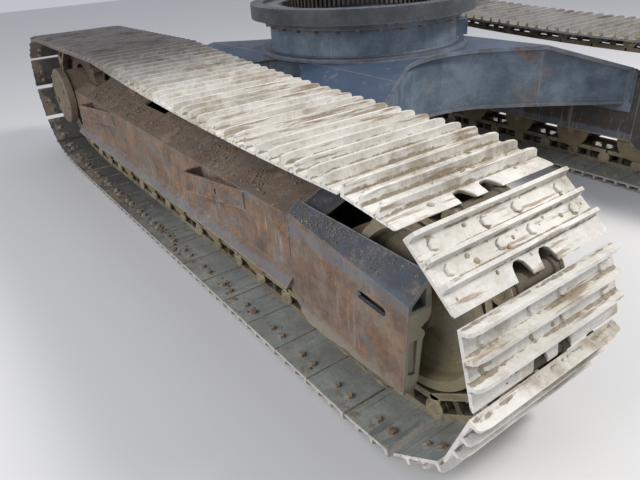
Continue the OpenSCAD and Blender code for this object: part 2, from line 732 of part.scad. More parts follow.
module slew_outer_race() {
    gap = 0.1;
    color([0.25, 0.26, 0.28]) difference() {
        translate([0, 0, turret_top + 12]) cylinder(r = ring_r, h = ring_h - 12);
        translate([0, 0, turret_top]) cylinder(r = race_r + race_gap, h = ring_h + 10);
        translate([0, 0, ball_z - 8 - gap]) cylinder(r = ball_r + gap, h = 16 + 2 * gap);
        for (k = [0 : bolt_count - 1]) rotate(k * 360 / bolt_count)
            translate([bolt_circle_r, 0, turret_top]) cylinder(r = bolt_r, h = ring_h + 10, $fn = 24);
    }
}

// Hose ports round a swivel part, pointing outwards at a height
module swivel_ports(r, z) {
    for (k = [0 : ports - 1]) rotate(k * 360 / ports) translate([r - 6, 0, z]) rotate([0, 90, 0])
        cylinder(r = port_r, h = 26, $fn = 32);
}

// Centre swivel joint: the body stands in the car body's floor, the rotor turns with the upper structure
module swivel_body() {
    low = belly_z - 60;
    color([0.35, 0.36, 0.38]) difference() {
        union() {
            translate([0, 0, low]) cylinder(r = swivel_r, h = swivel_h);
            translate([0, 0, belly_z + 20 + seat]) cylinder(r = swivel_r + 40, h = 18);
            swivel_ports(swivel_r, belly_z + 120);
        }
        translate([0, 0, low + 20]) cylinder(r = swivel_bore + running, h = swivel_h);
    }
}

module swivel_rotor() {
    top = belly_z - 60 + swivel_h;
    color([0.55, 0.55, 0.55]) union() {
        translate([0, 0, belly_z - 39]) cylinder(r = swivel_bore, h = swivel_h + 20);
        translate([0, 0, top + 5]) cylinder(r = swivel_r - 6, h = 70);
        swivel_ports(swivel_r - 6, top + 40);
        translate([0, 0, top + 70]) cylinder(r = 40, h = 60);
    }
}

car_body_core();
leg(1, 1);  // leg_front_left
leg(1, -1);  // leg_front_right
leg(-1, 1);  // leg_rear_left
leg(-1, -1);  // leg_rear_right
turret();
slew_inner_race();
slew_outer_race();
swivel_body();
swivel_rotor();
frame(1);  // frame_left
frame(-1);  // frame_right
guide(1);  // guide_left
guide(-1);  // guide_right
yoke(1);  // yoke_left
yoke(-1);  // yoke_right
recoil_spring(1);  // recoil_spring_left
recoil_spring(-1);  // recoil_spring_right
idler(1);  // idler_left
idler(-1);  // idler_right
idler_axle(1);  // idler_axle_left
idler_axle(-1);  // idler_axle_right
bottom_rollers(1);  // bottom_rollers_left
bottom_rollers(-1);  // bottom_rollers_right
carrier_roller(1);  // carrier_roller_left
carrier_roller(-1);  // carrier_roller_right
drive_bracket(1);  // drive_bracket_left
drive_bracket(-1);  // drive_bracket_right
final_drive(1);  // final_drive_left
final_drive(-1);  // final_drive_right
sprocket(1);  // sprocket_left
sprocket(-1);  // sprocket_right
steps(1);  // steps_left
steps(-1);  // steps_right
track(1);  // track_left
track(-1);  // track_right
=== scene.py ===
"""Dresses the crawler undercarriage: camera, lights, floor, finishes and the fine pieces round the CAD frame.

All lengths are metres in the row frame: origin on the ground under the slewing axis, +X to the idlers, +Y to
the left track, +Z up. v is the distance outwards from the middle of a track. The chain's path and the places
of the plates repeat the sizes of part.scad.
"""
from __future__ import annotations

import json
import logging
import math
from dataclasses import dataclass, field
from enum import Enum

import bmesh
import bpy
import numpy as np
from mathutils import Matrix


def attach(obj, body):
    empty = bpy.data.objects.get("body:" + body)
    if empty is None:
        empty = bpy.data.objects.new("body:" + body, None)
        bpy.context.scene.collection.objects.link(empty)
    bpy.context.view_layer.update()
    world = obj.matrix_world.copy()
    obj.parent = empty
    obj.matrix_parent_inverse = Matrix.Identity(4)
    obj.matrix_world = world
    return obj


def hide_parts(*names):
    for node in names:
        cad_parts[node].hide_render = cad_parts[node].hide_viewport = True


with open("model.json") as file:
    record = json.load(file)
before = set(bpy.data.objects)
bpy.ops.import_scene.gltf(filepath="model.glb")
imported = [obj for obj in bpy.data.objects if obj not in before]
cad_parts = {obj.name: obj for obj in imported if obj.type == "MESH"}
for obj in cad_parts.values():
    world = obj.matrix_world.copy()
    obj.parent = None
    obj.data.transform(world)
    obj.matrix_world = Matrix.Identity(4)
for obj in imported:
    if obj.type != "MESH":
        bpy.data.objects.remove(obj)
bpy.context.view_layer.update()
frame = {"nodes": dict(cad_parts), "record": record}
LOG = logging.getLogger("undercarriage")

GAUGE = 1.990  # between the middles of the tracks
SHOE_W = 0.500  # length of a shoe across the track
PIN_TO_SHOE = 0.033  # from the pin line to the shoe's inner face
SHOE_T = 0.009  # thickness of the shoe's plate
TIP_H = 0.067  # from the pin line to the ridges' tips
TAU = 2 * math.pi
UP, DOWN, ALONG_X = np.array([0.0, 0.0, 1.0]), np.array([0.0, 0.0, -1.0]), np.array([1.0, 0.0, 0.0])

Point = tuple[float, float, float]
Rng = np.random.Generator
Material = bpy.types.Material
Tree = bpy.types.NodeTree
Socket = bpy.types.NodeSocket
Value = Socket | float | tuple


class Side(Enum):
    """The two track units; the value is the sign of their y."""

    LEFT = 1
    RIGHT = -1

    @property
    def word(self) -> str:
        """The side as node names write it."""
        return self.name.lower()


def srgb(code: str) -> tuple[float, float, float, float]:
    """Turns a colour written as six hex digits into Blender's linear colour.

    Args:
        code: The colour, such as "8a7f66".

    Returns:
        Red, green, blue and an alpha of 1.
    """
    parts = [int(code[k:k + 2], 16) / 255 for k in (0, 2, 4)]
    return tuple(c / 12.92 if c <= 0.04045 else ((c + 0.055) / 1.055) ** 2.4 for c in parts) + (1.0,)


def unit(rows: np.ndarray) -> np.ndarray:
    """Every row divided by its length."""
    return rows / np.linalg.norm(rows, axis=-1, keepdims=True)


def square_to(axes: np.ndarray, steep: float) -> np.ndarray:
    """A direction to cross each unit axis with: z, or x where the axis is steeper than the limit."""
    return np.where(np.abs(axes[:, 2:]) < steep, UP, ALONG_X)


def circle(radius: np.ndarray | float, count: int, phase: float = 0.0) -> np.ndarray:
    """Points radius times (cosine, sine) of count even angles, in the last axis."""
    a = phase + np.arange(count) * TAU / count
    return np.stack([np.multiply.outer(radius, np.cos(a)), np.multiply.outer(radius, np.sin(a))], -1)


# ---------------------------------------------------------------- surfaces


@dataclass
class Shell:
    """Faces worked out with numpy: points, the corners of every face in a row, and how many each face has.

    soil says how thickly dirt gathers at each point, from 0 to 1; at the toe edge of a shoe's inner face it stands
    for painted shade in the gap between shoes.
    """

    points: np.ndarray
    corners: np.ndarray
    sizes: np.ndarray
    soil: np.ndarray | None = None

    def dirt(self) -> np.ndarray:
        """The soil of every point, 0 where none is given."""
        return np.zeros(len(self.points)) if self.soil is None else self.soil

    @staticmethod
    def join(shells: list["Shell"]) -> "Shell":
        """Puts several shells into one.

        Args:
            shells: The shells, each with its own numbering.

        Returns:
            One shell, with the corners renumbered.
        """
        starts = np.cumsum([0] + [len(s.points) for s in shells[:-1]])
        return Shell(np.concatenate([s.points for s in shells]),
                     np.concatenate([s.corners + k for s, k in zip(shells, starts)]),
                     np.concatenate([s.sizes for s in shells]), np.concatenate([s.dirt() for s in shells]))

    def placed(self, frames: np.ndarray) -> "Shell":
        """Repeats the shell in many places.

        Args:
            frames: An array (k, 3, 4); the first three columns turn a point and the last one moves it.

        Returns:
            k copies in one shell.
        """
        k, n = len(frames), len(self.points)
        points = np.einsum("kij,nj->kni", frames[:, :, :3], self.points) + frames[:, None, :, 3]
        corners = (self.corners[None, :] + n * np.arange(k)[:, None]).ravel()
        return Shell(points.reshape(-1, 3), corners, np.tile(self.sizes, k), np.tile(self.dirt(), k))


def grid_shell(points: np.ndarray) -> Shell:
    """Joins a grid of points with four-cornered faces and closes the first and the last row with one face each.

    Args:
        points: An array (rows, columns, 3). Every row is a closed ring of columns.

    Returns:
        A closed shell.
    """
    rows, cols = points.shape[:2]
    at = np.arange(rows * cols).reshape(rows, cols)
    ahead = np.roll(at, -1, axis=1)
    quads = np.stack([at[:-1], ahead[:-1], ahead[1:], at[1:]], axis=-1).reshape(-1, 4)
    corners = np.concatenate([quads.ravel(), at[0, ::-1], at[-1]])
    return Shell(points.reshape(-1, 3), corners, np.array([4] * len(quads) + [cols, cols]))


def turned(outline: list[tuple[float, float]], sides: int) -> Shell:
    """A turned or many-sided piece: radius and height of the outline swept round the z axis.

    Args:
        outline: Pairs of radius and height from the foot to the top, with no radius of zero.
        sides: Number of sides; six gives a hexagon head.

    Returns:
        A closed shell along +z.
    """
    r, z = np.array(outline).T
    return grid_shell(np.concatenate([circle(r, sides), np.repeat(z[:, None], sides, 1)[..., None]], -1))


def prism(outline: np.ndarray, v0: float, v1: float, chamfer: float = 0.0) -> Shell:
    """Carries an outline of x and z along y, with its rim drawn in by a chamfer at both ends.

    Args:
        outline: An array (n, 2) of x and z.
        v0: Where the prism starts on y.
        v1: Where it ends.
        chamfer: Width of the broken edge.

    Returns:
        A closed shell.
    """
    middle = outline.mean(axis=0)
    k = 1 - chamfer / np.linalg.norm(outline - middle, axis=1).max()
    stops = [(v0, k), (v0 + chamfer, 1), (v1 - chamfer, 1), (v1, k)] if chamfer else [(v0, 1), (v1, 1)]
    rings = [np.insert(middle + (outline - middle) * scale, 1, v, axis=1) for v, scale in stops]
    return grid_shell(np.array(rings))


def hex_bolt(across: float, height: float, washer: float = 0.0) -> Shell:
    """A hexagon bolt head, broken at its top edge, on a round washer.

    Args:
        across: Distance across the corners.
        height: Height of the head.
        washer: Thickness of the washer, or 0 for none.

    Returns:
        A shell standing on z = 0 along +z.
    """
    r = across / 2
    head = turned([(r, washer), (r, washer + 0.8 * height), (0.86 * r, washer + height)], 6)
    if not washer:
        return head
    rim = turned([(1.22 * r, 0), (1.22 * r, 0.7 * washer), (1.12 * r, washer)], 14)
    return Shell.join([rim, head])


def framed(x: np.ndarray, y: np.ndarray, z: np.ndarray, at: np.ndarray, spin: np.ndarray | float) -> np.ndarray:
    """Frames (k, 3, 4) from the rows of three axes and of the places, turned about their own z by an angle."""
    c, s = (np.broadcast_to(part, len(at))[:, None] for part in (np.cos(spin), np.sin(spin)))
    return np.stack([c * x + s * y, c * y - s * x, z, at], axis=-1)


def aim(points: np.ndarray, axes: np.ndarray, spin: np.ndarray | float = 0.0) -> np.ndarray:
    """Frames that stand a shell on its places with its z along an axis.

    Args:
        points: An array (k, 3) of places.
        axes: An array (k, 3) or (3,) of directions.
        spin: Angle, or angles, about the axis.

    Returns:
        An array (k, 3, 4) for Shell.placed.
    """
    points = np.atleast_2d(points)
    z = unit(np.broadcast_to(np.atleast_2d(axes), points.shape).astype(float))
    x = unit(np.cross(square_to(z, 0.9), z))
    return framed(x, np.cross(z, x), z, points, spin)


def ring_places(radius: float, count: int, z: float, phase: float = 0.0) -> np.ndarray:
    """Places round the slewing axis.

    Args:
        radius: Radius of the ring.
        count: Number of places.
        z: Height.
        phase: Angle of the first place.

    Returns:
        An array (count, 3).
    """
    return np.insert(circle(radius, count, phase), 2, z, axis=1)


def lumpy_bead(path: np.ndarray, radius: np.ndarray | float, wobble: float, rng: Rng, flat: float = 0.6) -> Shell:
    """A weld bead or a crust of mud: a ring of seven points carried along a path, with uneven radius.

    Args:
        path: An array (k, 3) of points along the bead.
        radius: Radius, one number or one for each point; the ends are drawn in to 0.3 of it.
        wobble: Share by which the radius changes at random.
        rng: Source of the random numbers.
        flat: Height of the ring over its width.

    Returns:
        A closed shell.
    """
    sides, drawn_in = 7, 0.3
    ahead = unit(np.gradient(path, axis=0))
    u = unit(np.cross(ahead, square_to(ahead, 0.8)))
    w = np.cross(ahead, u)
    size = np.broadcast_to(radius, len(path))[:, None] * (1 + wobble * rng.uniform(-1, 1, (len(path), sides)))
    size[[0, -1]] *= drawn_in
    ring = size[..., None] * circle(1.0, sides) * np.array([1.0, flat])
    return grid_shell(path[:, None, :] + ring[..., :1] * u[:, None, :] + ring[..., 1:] * w[:, None, :])


def spread(count: int, share: float, hill: tuple[float, float], ends: tuple[float, float], rng: Rng) -> np.ndarray:
    """Random numbers: a share of them round a middle with a deviation, the others evenly between two ends."""
    return np.where(rng.uniform(0, 1, count) < share, rng.normal(*hill, count), rng.uniform(*ends, count))


def lumps(frames: np.ndarray, sizes: np.ndarray, rng: Rng, flat: float = 0.7) -> Shell:
    """Little stones or clods: a six-sided ball whose points are pushed in and out at random, one for each frame.

    Args:
        frames: An array (k, 3, 4) of places and directions; a lump is flattened along its z.
        sizes: Radius of each lump.
        rng: Source of the random numbers.
        flat: Height over width.

    Returns:
        One shell with all lumps.
    """
    lat = np.radians([-55, -8, 38, 70])
    one = turned(list(zip(np.cos(lat), flat * np.sin(lat))), 6)
    k, n = len(frames), len(one.points)
    stretch = np.stack([rng.uniform(0.7, 1.5, k), np.ones(k), rng.uniform(0.7, 1.2, k)], axis=1)
    local = one.points[None] * (sizes[:, None] * stretch)[:, None, :] * rng.uniform(0.84, 1.10, (k, n, 1))
    many = one.placed(frames)
    many.points = (np.einsum("kij,knj->kni", frames[:, :, :3], local) + frames[:, None, :, 3]).reshape(-1, 3)
    return many


def slab(top: np.ndarray, under: np.ndarray) -> Shell:
    """A closed body between two grids of points that have the same rows and columns.

    Args:
        top: An array (rows, columns, 3) of the upper face.
        under: The same for the lower face.

    Returns:
        The upper faces, the rim and, last, the lower faces.
    """
    rows, cols = top.shape[:2]
    n = rows * cols
    at = np.arange(n).reshape(rows, cols)
    face = np.stack([at[:-1, :-1], at[:-1, 1:], at[1:, 1:], at[1:, :-1]], -1).reshape(-1, 4)
    edge = np.concatenate([at[0], at[1:-1, -1], at[-1, ::-1], at[-2:0:-1, 0]])
    ahead = np.roll(edge, -1)
    rim = np.stack([edge, ahead, n + ahead, n + edge], -1)
    quads = np.concatenate([face, rim, n + face[:, ::-1]])
    return Shell(np.concatenate([top.reshape(-1, 3), under.reshape(-1, 3)]), quads.ravel(), np.full(len(quads), 4))


def uneven(u: np.ndarray, v: np.ndarray, cell: float, rng: Rng, octaves: int = 4) -> np.ndarray:
    """Uneven heights from -1 to 1: random numbers on a square lattice, joined by smooth steps.

    Each finer lattice has half the spacing and 0.6 of the height of the one before.

    Args:
        u: First coordinate of the points.
        v: Second coordinate.
        cell: Spacing of the coarsest lattice.
        rng: Source of the random numbers.
        octaves: Number of lattices.

    Returns:
        The heights, in the shape of u.
    """
    total, weight = np.zeros_like(u, dtype=float), 0.0
    for k in range(octaves):
        a, b = (u - u.min()) / cell * 2 ** k, (v - v.min()) / cell * 2 ** k
        i, j = np.floor(a).astype(int), np.floor(b).astype(int)
        table = rng.uniform(-1, 1, (i.max() + 2, j.max() + 2))
        s, w = a - i, b - j
        s, w = s * s * (3 - 2 * s), w * w * (3 - 2 * w)
        low = table[i, j] * (1 - s) + table[i + 1, j] * s
        high = table[i, j + 1] * (1 - s) + table[i + 1, j + 1] * s
        total += 0.6 ** k * (low * (1 - w) + high * w)
        weight += 0.6 ** k
    return total / weight * 1.8


def patch_points(corners: np.ndarray, u: np.ndarray, w: np.ndarray) -> tuple[np.ndarray, np.ndarray]:
    """Points of a four-cornered plate and the direction away from it.

    A point is the mean of the four corners, weighted by u along the first edge and by w across it.

    Args:
        corners: The plate's corners in order round it.
        u: Shares along the first edge.
        w: Shares across.

    Returns:
        The points, and the unit normal that looks upwards.
    """
    a, b, c, d = corners
    u, w = u[..., None], w[..., None]
    points = a * (1 - u) * (1 - w) + b * u * (1 - w) + c * u * w + d * (1 - u) * w
    normal = np.cross(b - a, d - a)
    normal *= np.sign(normal[2]) / np.linalg.norm(normal)
    return points, normal


def crust(corners: np.ndarray, level: float, rng: Rng) -> Shell:
    """A crust of dried soil on a plate, which shows where its uneven height rises over the plate.

    The rise over the plate is the crust's height times (uneven noise minus the level minus a drop), where the
    drop grows with the square of the share of the rim that a point has left to the border.

    Args:
        corners: The plate's corners in order round it.
        level: Noise under which the plate stays bare.
        rng: Source of the random numbers.

    Returns:
        A closed shell whose underside lies inside the plate.
    """
    step, height, cell, rim, inside = 0.008, 0.0045, 0.12, 0.012, 0.003
    length, width = np.linalg.norm(corners[[1, 3]] - corners[0], axis=1)
    u, w = np.meshgrid(np.linspace(0, 1, int(length / step) + 2), np.linspace(0, 1, int(width / step) + 2),
                       indexing="ij")
    points, normal = patch_points(corners, u, w)
    border = np.minimum(np.minimum(u, 1 - u) * length, np.minimum(w, 1 - w) * width)
    drop = 1.6 * np.clip(1 - border / rim, 0, 1) ** 2
    rise = height * (uneven(u * length, w * width, cell, rng) - level - drop)
    return slab(points + np.clip(rise, -0.0022, None)[..., None] * normal, points - inside * normal)


def scattered(corners: np.ndarray, count: int, size: tuple[float, float], rng: Rng, level: float = 0.0) -> Shell:
    """Gravel on a plate, thick in some places and thin in others.

    Args:
        corners: The plate's corners in order round it.
        count: Number of stones tried; a stone stays where uneven noise is over the level.
        size: Smallest and largest radius.
        rng: Source of the random numbers.
        level: Noise under which no stone lies.

    Returns:
        The stones in one shell.
    """
    cell, above = 0.15, 0.35
    u, w = rng.uniform(0.01, 0.99, (2, count))
    points, normal = patch_points(corners, u, w)
    span, wide = np.linalg.norm(corners[[1, 3]] - corners[0], axis=1)
    stay = uneven(u * span, w * wide, cell, rng, 2) + rng.uniform(-0.5, 0.5, count) > level
    points = points[stay]
    sizes = size[0] + (size[1] - size[0]) * rng.uniform(0, 1, len(points)) ** 2.5
    spin = rng.uniform(0, TAU, len(points))
    return lumps(aim(points + above * sizes[:, None] * normal, normal, spin), sizes, rng)


def make_piece(name: str, groups: list[tuple[Shell, Material]], body: str,
               smooth: float = 35.0) -> bpy.types.Object:
    """Makes one Blender object from shells, turns its faces outwards and sets it on a body.

    Args:
        name: Name of the piece.
        groups: Shells with their materials.
        body: The CAD body that it moves with.
        smooth: Angle in degrees under which neighbouring faces are shaded as one.

    Returns:
        The object.
    """
    whole = Shell.join([g[0] for g in groups])
    mesh = bpy.data.meshes.new(name)
    mesh.vertices.add(len(whole.points))
    mesh.vertices.foreach_set("co", whole.points.astype(np.float32).ravel())
    mesh.loops.add(len(whole.corners))
    mesh.loops.foreach_set("vertex_index", whole.corners.astype(np.int32))
    mesh.polygons.add(len(whole.sizes))
    starts = np.concatenate([[0], np.cumsum(whole.sizes)[:-1]]).astype(np.int32)
    mesh.polygons.foreach_set("loop_start", starts)
    mesh.polygons.foreach_set("loop_total", whole.sizes.astype(np.int32))
    which = np.repeat(np.arange(len(groups)), [len(g[0].sizes) for g in groups]).astype(np.int32)
    mesh.polygons.foreach_set("material_index", which)
    for _, material in groups:
        mesh.materials.append(material)
    if whole.dirt().any():
        mesh.attributes.new("soil", "FLOAT", "POINT").data.foreach_set("value", whole.dirt().astype(np.float32))
    mesh.update(calc_edges=True)
    mesh.validate()
    work = bmesh.new()
    work.from_mesh(mesh)
    bmesh.ops.remove_doubles(work, verts=work.verts, dist=1e-5)
    bmesh.ops.dissolve_degenerate(work, edges=work.edges, dist=1e-6)
    bmesh.ops.recalc_face_normals(work, faces=work.faces)
    work.to_mesh(mesh)
    work.free()
    mesh.shade_smooth()
    mesh.set_sharp_from_angle(angle=math.radians(smooth))
    piece = bpy.data.objects.new(name, mesh)
    bpy.context.scene.collection.objects.link(piece)
    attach(piece, body)
    LOG.info("%s: %d faces", name, len(mesh.polygons))
    return piece


# ---------------------------------------------------------------- finishes


class Graph:
    """Adds nodes to one node tree and joins them."""

    def __init__(self, tree: Tree) -> None:
        """Keeps the tree that the nodes go into."""
        self.tree = tree

    def add(self, kind: str, inputs: dict[str | int, Value] | None = None, **settings: object) -> bpy.types.Node:
        """Adds a node.

        Args:
            kind: Blender's name of the node type.
            inputs: Sockets or plain values by input name or number.
            settings: Properties of the node.

        Returns:
            The node.
        """
        node = self.tree.nodes.new(kind)
        for key, value in settings.items():
            setattr(node, key, value)
        for key, value in (inputs or {}).items():
            if isinstance(value, Socket):
                self.tree.links.new(value, node.inputs[key])
            else:
                node.inputs[key].default_value = value
        return node

    def math(self, operation: str, a: Value, b: Value = 0.0, clamp: bool = False) -> Socket:
        """One calculation with two numbers; the result's socket."""
        return self.add("ShaderNodeMath", {0: a, 1: b}, operation=operation, use_clamp=clamp).outputs[0]

    def mix(self, factor: Value, a: Value, b: Value, blend: str = "MIX") -> Socket:
        """Two colours mixed by a factor; the result's socket."""
        return self.add("ShaderNodeMix", {0: factor, 6: a, 7: b}, data_type="RGBA", blend_type=blend).outputs[2]

    def noise(self, vector: Socket, scale: Value, detail: float = 4.0, rough: float = 0.6) -> Socket:
        """A noise pattern; its value's socket."""
        return self.add("ShaderNodeTexNoise", {"Vector": vector, "Scale": scale, "Detail": detail,
                                               "Roughness": rough}).outputs["Fac"]

    def ramp(self, value: Socket, low: Value, high: Value) -> Socket:
        """Spreads the values from low to high over 0 to 1 in a smooth step."""
        return self.add("ShaderNodeMapRange", {0: value, 1: low, 2: high},
                        interpolation_type="SMOOTHSTEP").outputs[0]

    def split(self, vector: Socket) -> bpy.types.NodeOutputs:
        """The X, Y and Z sockets of a vector."""
        return self.add("ShaderNodeSeparateXYZ", {0: vector}).outputs

    def around(self, vector: Socket, scale: float, detail: float, rough: float, swing: float) -> Socket:
        """Noise from about -swing / 2 to swing / 2, to make an edge wander."""
        return self.math("MULTIPLY", self.math("SUBTRACT", self.noise(vector, scale, detail, rough), 0.5), swing)

    def group(self, tree: Tree, inputs: dict[str, Value]) -> Socket:
        """Places a node group with its values; the socket of its one output."""
        return self.add("ShaderNodeGroup", inputs, node_tree=tree).outputs[0]


class Patterns:
    """The shader node groups that several finishes share."""

    def __init__(self) -> None:
        """Builds each group once."""
        self.wear = self.edge_wear()
        self.drips = self.drawn_out("drip streaks", (1.0, 1.0, 0.09))
        self.drags = self.drawn_out("drag marks", (1.0, 0.08, 1.0))
        self.dust = self.settled_dust()
        self.patches = self.broken_patches()
        self.grain = self.surface_grain()

    @staticmethod
    def start(name: str, inputs: dict[str, float]) -> tuple[Graph, bpy.types.NodeOutputs]:
        """Starts a group with a Vector input, number inputs and one number output.

        Args:
            name: Name of the group.
            inputs: Names and starting values of the number inputs.

        Returns:
            The graph and the sockets of the group's inputs.
        """
        tree = bpy.data.node_groups.new(name, "ShaderNodeTree")
        tree.interface.new_socket("Vector", in_out="INPUT", socket_type="NodeSocketVector")
        for key, value in inputs.items():
            tree.interface.new_socket(key, in_out="INPUT", socket_type="NodeSocketFloat").default_value = value
        tree.interface.new_socket("Mask", in_out="OUTPUT", socket_type="NodeSocketFloat")
        graph = Graph(tree)
        return graph, graph.add("NodeGroupInput").outputs

    @staticmethod
    def end(g: Graph, value: Socket) -> Tree:
        """Sends a value to the group's output and hands back the group."""
        g.add("NodeGroupOutput", {"Mask": value})
        return g.tree

    def edge_wear(self) -> Tree:
        """Mask of the edges: how far the rounded normal leans away from the face's own, broken by noise.

        Returns:
            The group.
        """
        g, i = self.start("edge wear", {"Width": 0.004, "Amount": 1.0, "Scale": 60.0})
        soft = g.add("ShaderNodeBevel", {"Radius": i["Width"]}, samples=4).outputs[0]
        flat = g.add("ShaderNodeNewGeometry").outputs["Normal"]
        same = g.add("ShaderNodeVectorMath", {0: soft, 1: flat}, operation="DOT_PRODUCT").outputs["Value"]
        lean = g.math("MULTIPLY", g.math("SUBTRACT", 1.0, same), 9.0)
        broken = g.math("MULTIPLY", lean, g.ramp(g.noise(i["Vector"], i["Scale"], 4.0, 0.5), 0.3, 0.62))
        return self.end(g, g.math("MULTIPLY", broken, i["Amount"], clamp=True))

    def drawn_out(self, name: str, stretch: tuple[float, float, float]) -> Tree:
        """Mask of long marks: noise drawn out along one axis and cut at a level that wanders over the surface.

        Args:
            name: Name of the group.
            stretch: Scale of the pattern along x, y and z; a small number makes it long.

        Returns:
            The group.
        """
        g, i = self.start(name, {"Scale": 40.0, "Level": 0.55, "Soft": 0.12})
        long = g.add("ShaderNodeMapping", {"Vector": i["Vector"], "Scale": stretch}).outputs[0]
        value = g.math("ADD", g.noise(long, i["Scale"], 4.0, 0.65), g.around(i["Vector"], 3.5, 3.0, 0.5, 0.6))
        return self.end(g, g.ramp(value, i["Level"], g.math("ADD", i["Level"], i["Soft"])))

    def settled_dust(self) -> Tree:
        """Mask of dust: faces that look upwards, times noise cut at a level that falls with the amount.

        Returns:
            The group.
        """
        g, i = self.start("settled dust", {"Scale": 14.0, "Amount": 0.6})
        facing = g.ramp(g.split(g.add("ShaderNodeNewGeometry").outputs["Normal"])["Z"], 0.0, 0.8)
        level = g.math("SUBTRACT", 0.76, g.math("MULTIPLY", i["Amount"], 0.5))
        cover = g.ramp(g.noise(i["Vector"], i["Scale"], 7.0, 0.72), level, g.math("ADD", level, 0.22))
        return self.end(g, g.math("MULTIPLY", facing, cover))

    def broken_patches(self) -> Tree:
        """Mask of uneven patches: 0.6 of coarse noise and 0.4 of fine noise, cut at a level.

        Returns:
            The group.
        """
        g, i = self.start("broken patches", {"Scale": 6.0, "Level": 0.5, "Soft": 0.06})
        coarse = g.noise(i["Vector"], i["Scale"], 2.0, 0.5)
        fine = g.noise(i["Vector"], g.math("MULTIPLY", i["Scale"], 5.0), 8.0, 0.75)
        value = g.math("ADD", g.math("MULTIPLY", coarse, 0.6), g.math("MULTIPLY", fine, 0.4))
        return self.end(g, g.ramp(value, g.math("SUBTRACT", i["Level"], i["Soft"]),
                                  g.math("ADD", i["Level"], i["Soft"])))

    def surface_grain(self) -> Tree:
        """Height of a rough plate: half the fine noise and the broad waves, less round pits.

        Returns:
            The group.
        """
        g, i = self.start("surface grain", {"Scale": 160.0, "Pits": 0.3})
        waves = g.noise(i["Vector"], 9.0, 2.0, 0.5)
        cell = g.add("ShaderNodeTexVoronoi", {"Vector": i["Vector"], "Scale": g.math("MULTIPLY", i["Scale"], 0.5)})
        pit = g.math("MULTIPLY", g.ramp(cell.outputs["Distance"], 0.25, 0.1), i["Pits"])
        fine = g.math("MULTIPLY", g.noise(i["Vector"], i["Scale"], 6.0, 0.7), 0.5)
        return self.end(g, g.math("SUBTRACT", g.math("ADD", fine, waves), pit))


@dataclass(frozen=True)
class Finish:
    """A weathered finish: two tones of paint or metal, with rust, wear, drips, gravel, dust and mud over them.

    Colours are six hex digits, and an empty one leaves its layer out. slope is the colour of plates that look
    up, ahead a painted light on those that look forward, inner a painted shade, with some oily dirt, on those
    between the tracks, core the painted shade over what lies inside the chain, band the colour between two
    heights, partly a painted highlight along a bend, behind the painted shadow, with some dirt, that darkens the
    rear end, far_shade_share its share on the far track, and soil the dirt that follows the piece's own soil
    attribute, which also paints the shade of the gaps between shoes and grows under the rear's painted shadow. A
    scale is in waves a metre, a level cuts a noise, and a share is a strength.
    """

    name: str
    base: str
    second: str
    rust: str = "5f4a3d"
    rust_light: str = "8a644a"
    rust_level: float = 0.52
    rust_soft: float = 0.07
    rust_share: float = 0.9
    rust_scale: float = 5.0
    drips: str = "a09480"
    drip_level: float = 0.66
    drip_share: float = 0.4
    drags: str = ""
    drag_level: float = 0.56
    worn: str = "8f8b84"
    wear_width: float = 0.004
    wear: float = 0.8
    dust: str = "a09680"
    dust_amount: float = 0.5
    slope: str = ""
    slope_share: float = 0.85
    patina: str = ""
    patina_share: float = 0.5
    # Colour of the forward faces: a painted light.
    ahead: str = ""
    # Colour of the inward faces: a painted shade, with some oily dirt.
    inner: str = ""
    # Colour of the painted shade inside the chain.
    core: str = ""
    # Painted shadow of the upper structure over the rear end, with some dirt: its tint, where it starts and ends on
    # x, and its share on the far track.
    rear_shadow: str = ""
    rear_shadow_from: float = 0.55
    rear_shadow_to: float = -0.35
    far_shade_share: float = 0.0
    # The band: partly a painted highlight along a bend, partly the paint's own blue-grey.
    band: str = ""
    band_low: float = 0.0
    band_high: float = 0.0
    soil: str = ""
    soil_share: float = 0.8
    mud: str = "94835f"
    mud_top: float = 0.0
    mud_fade: float = 0.12
    scale: float = 1.0
    rough: float = 0.5
    metal: float = 0.0
    bump: float = 0.8
    fleck: float = 0.0
    fleck_scale: float = 110.0
    drip_scale: float = 46.0


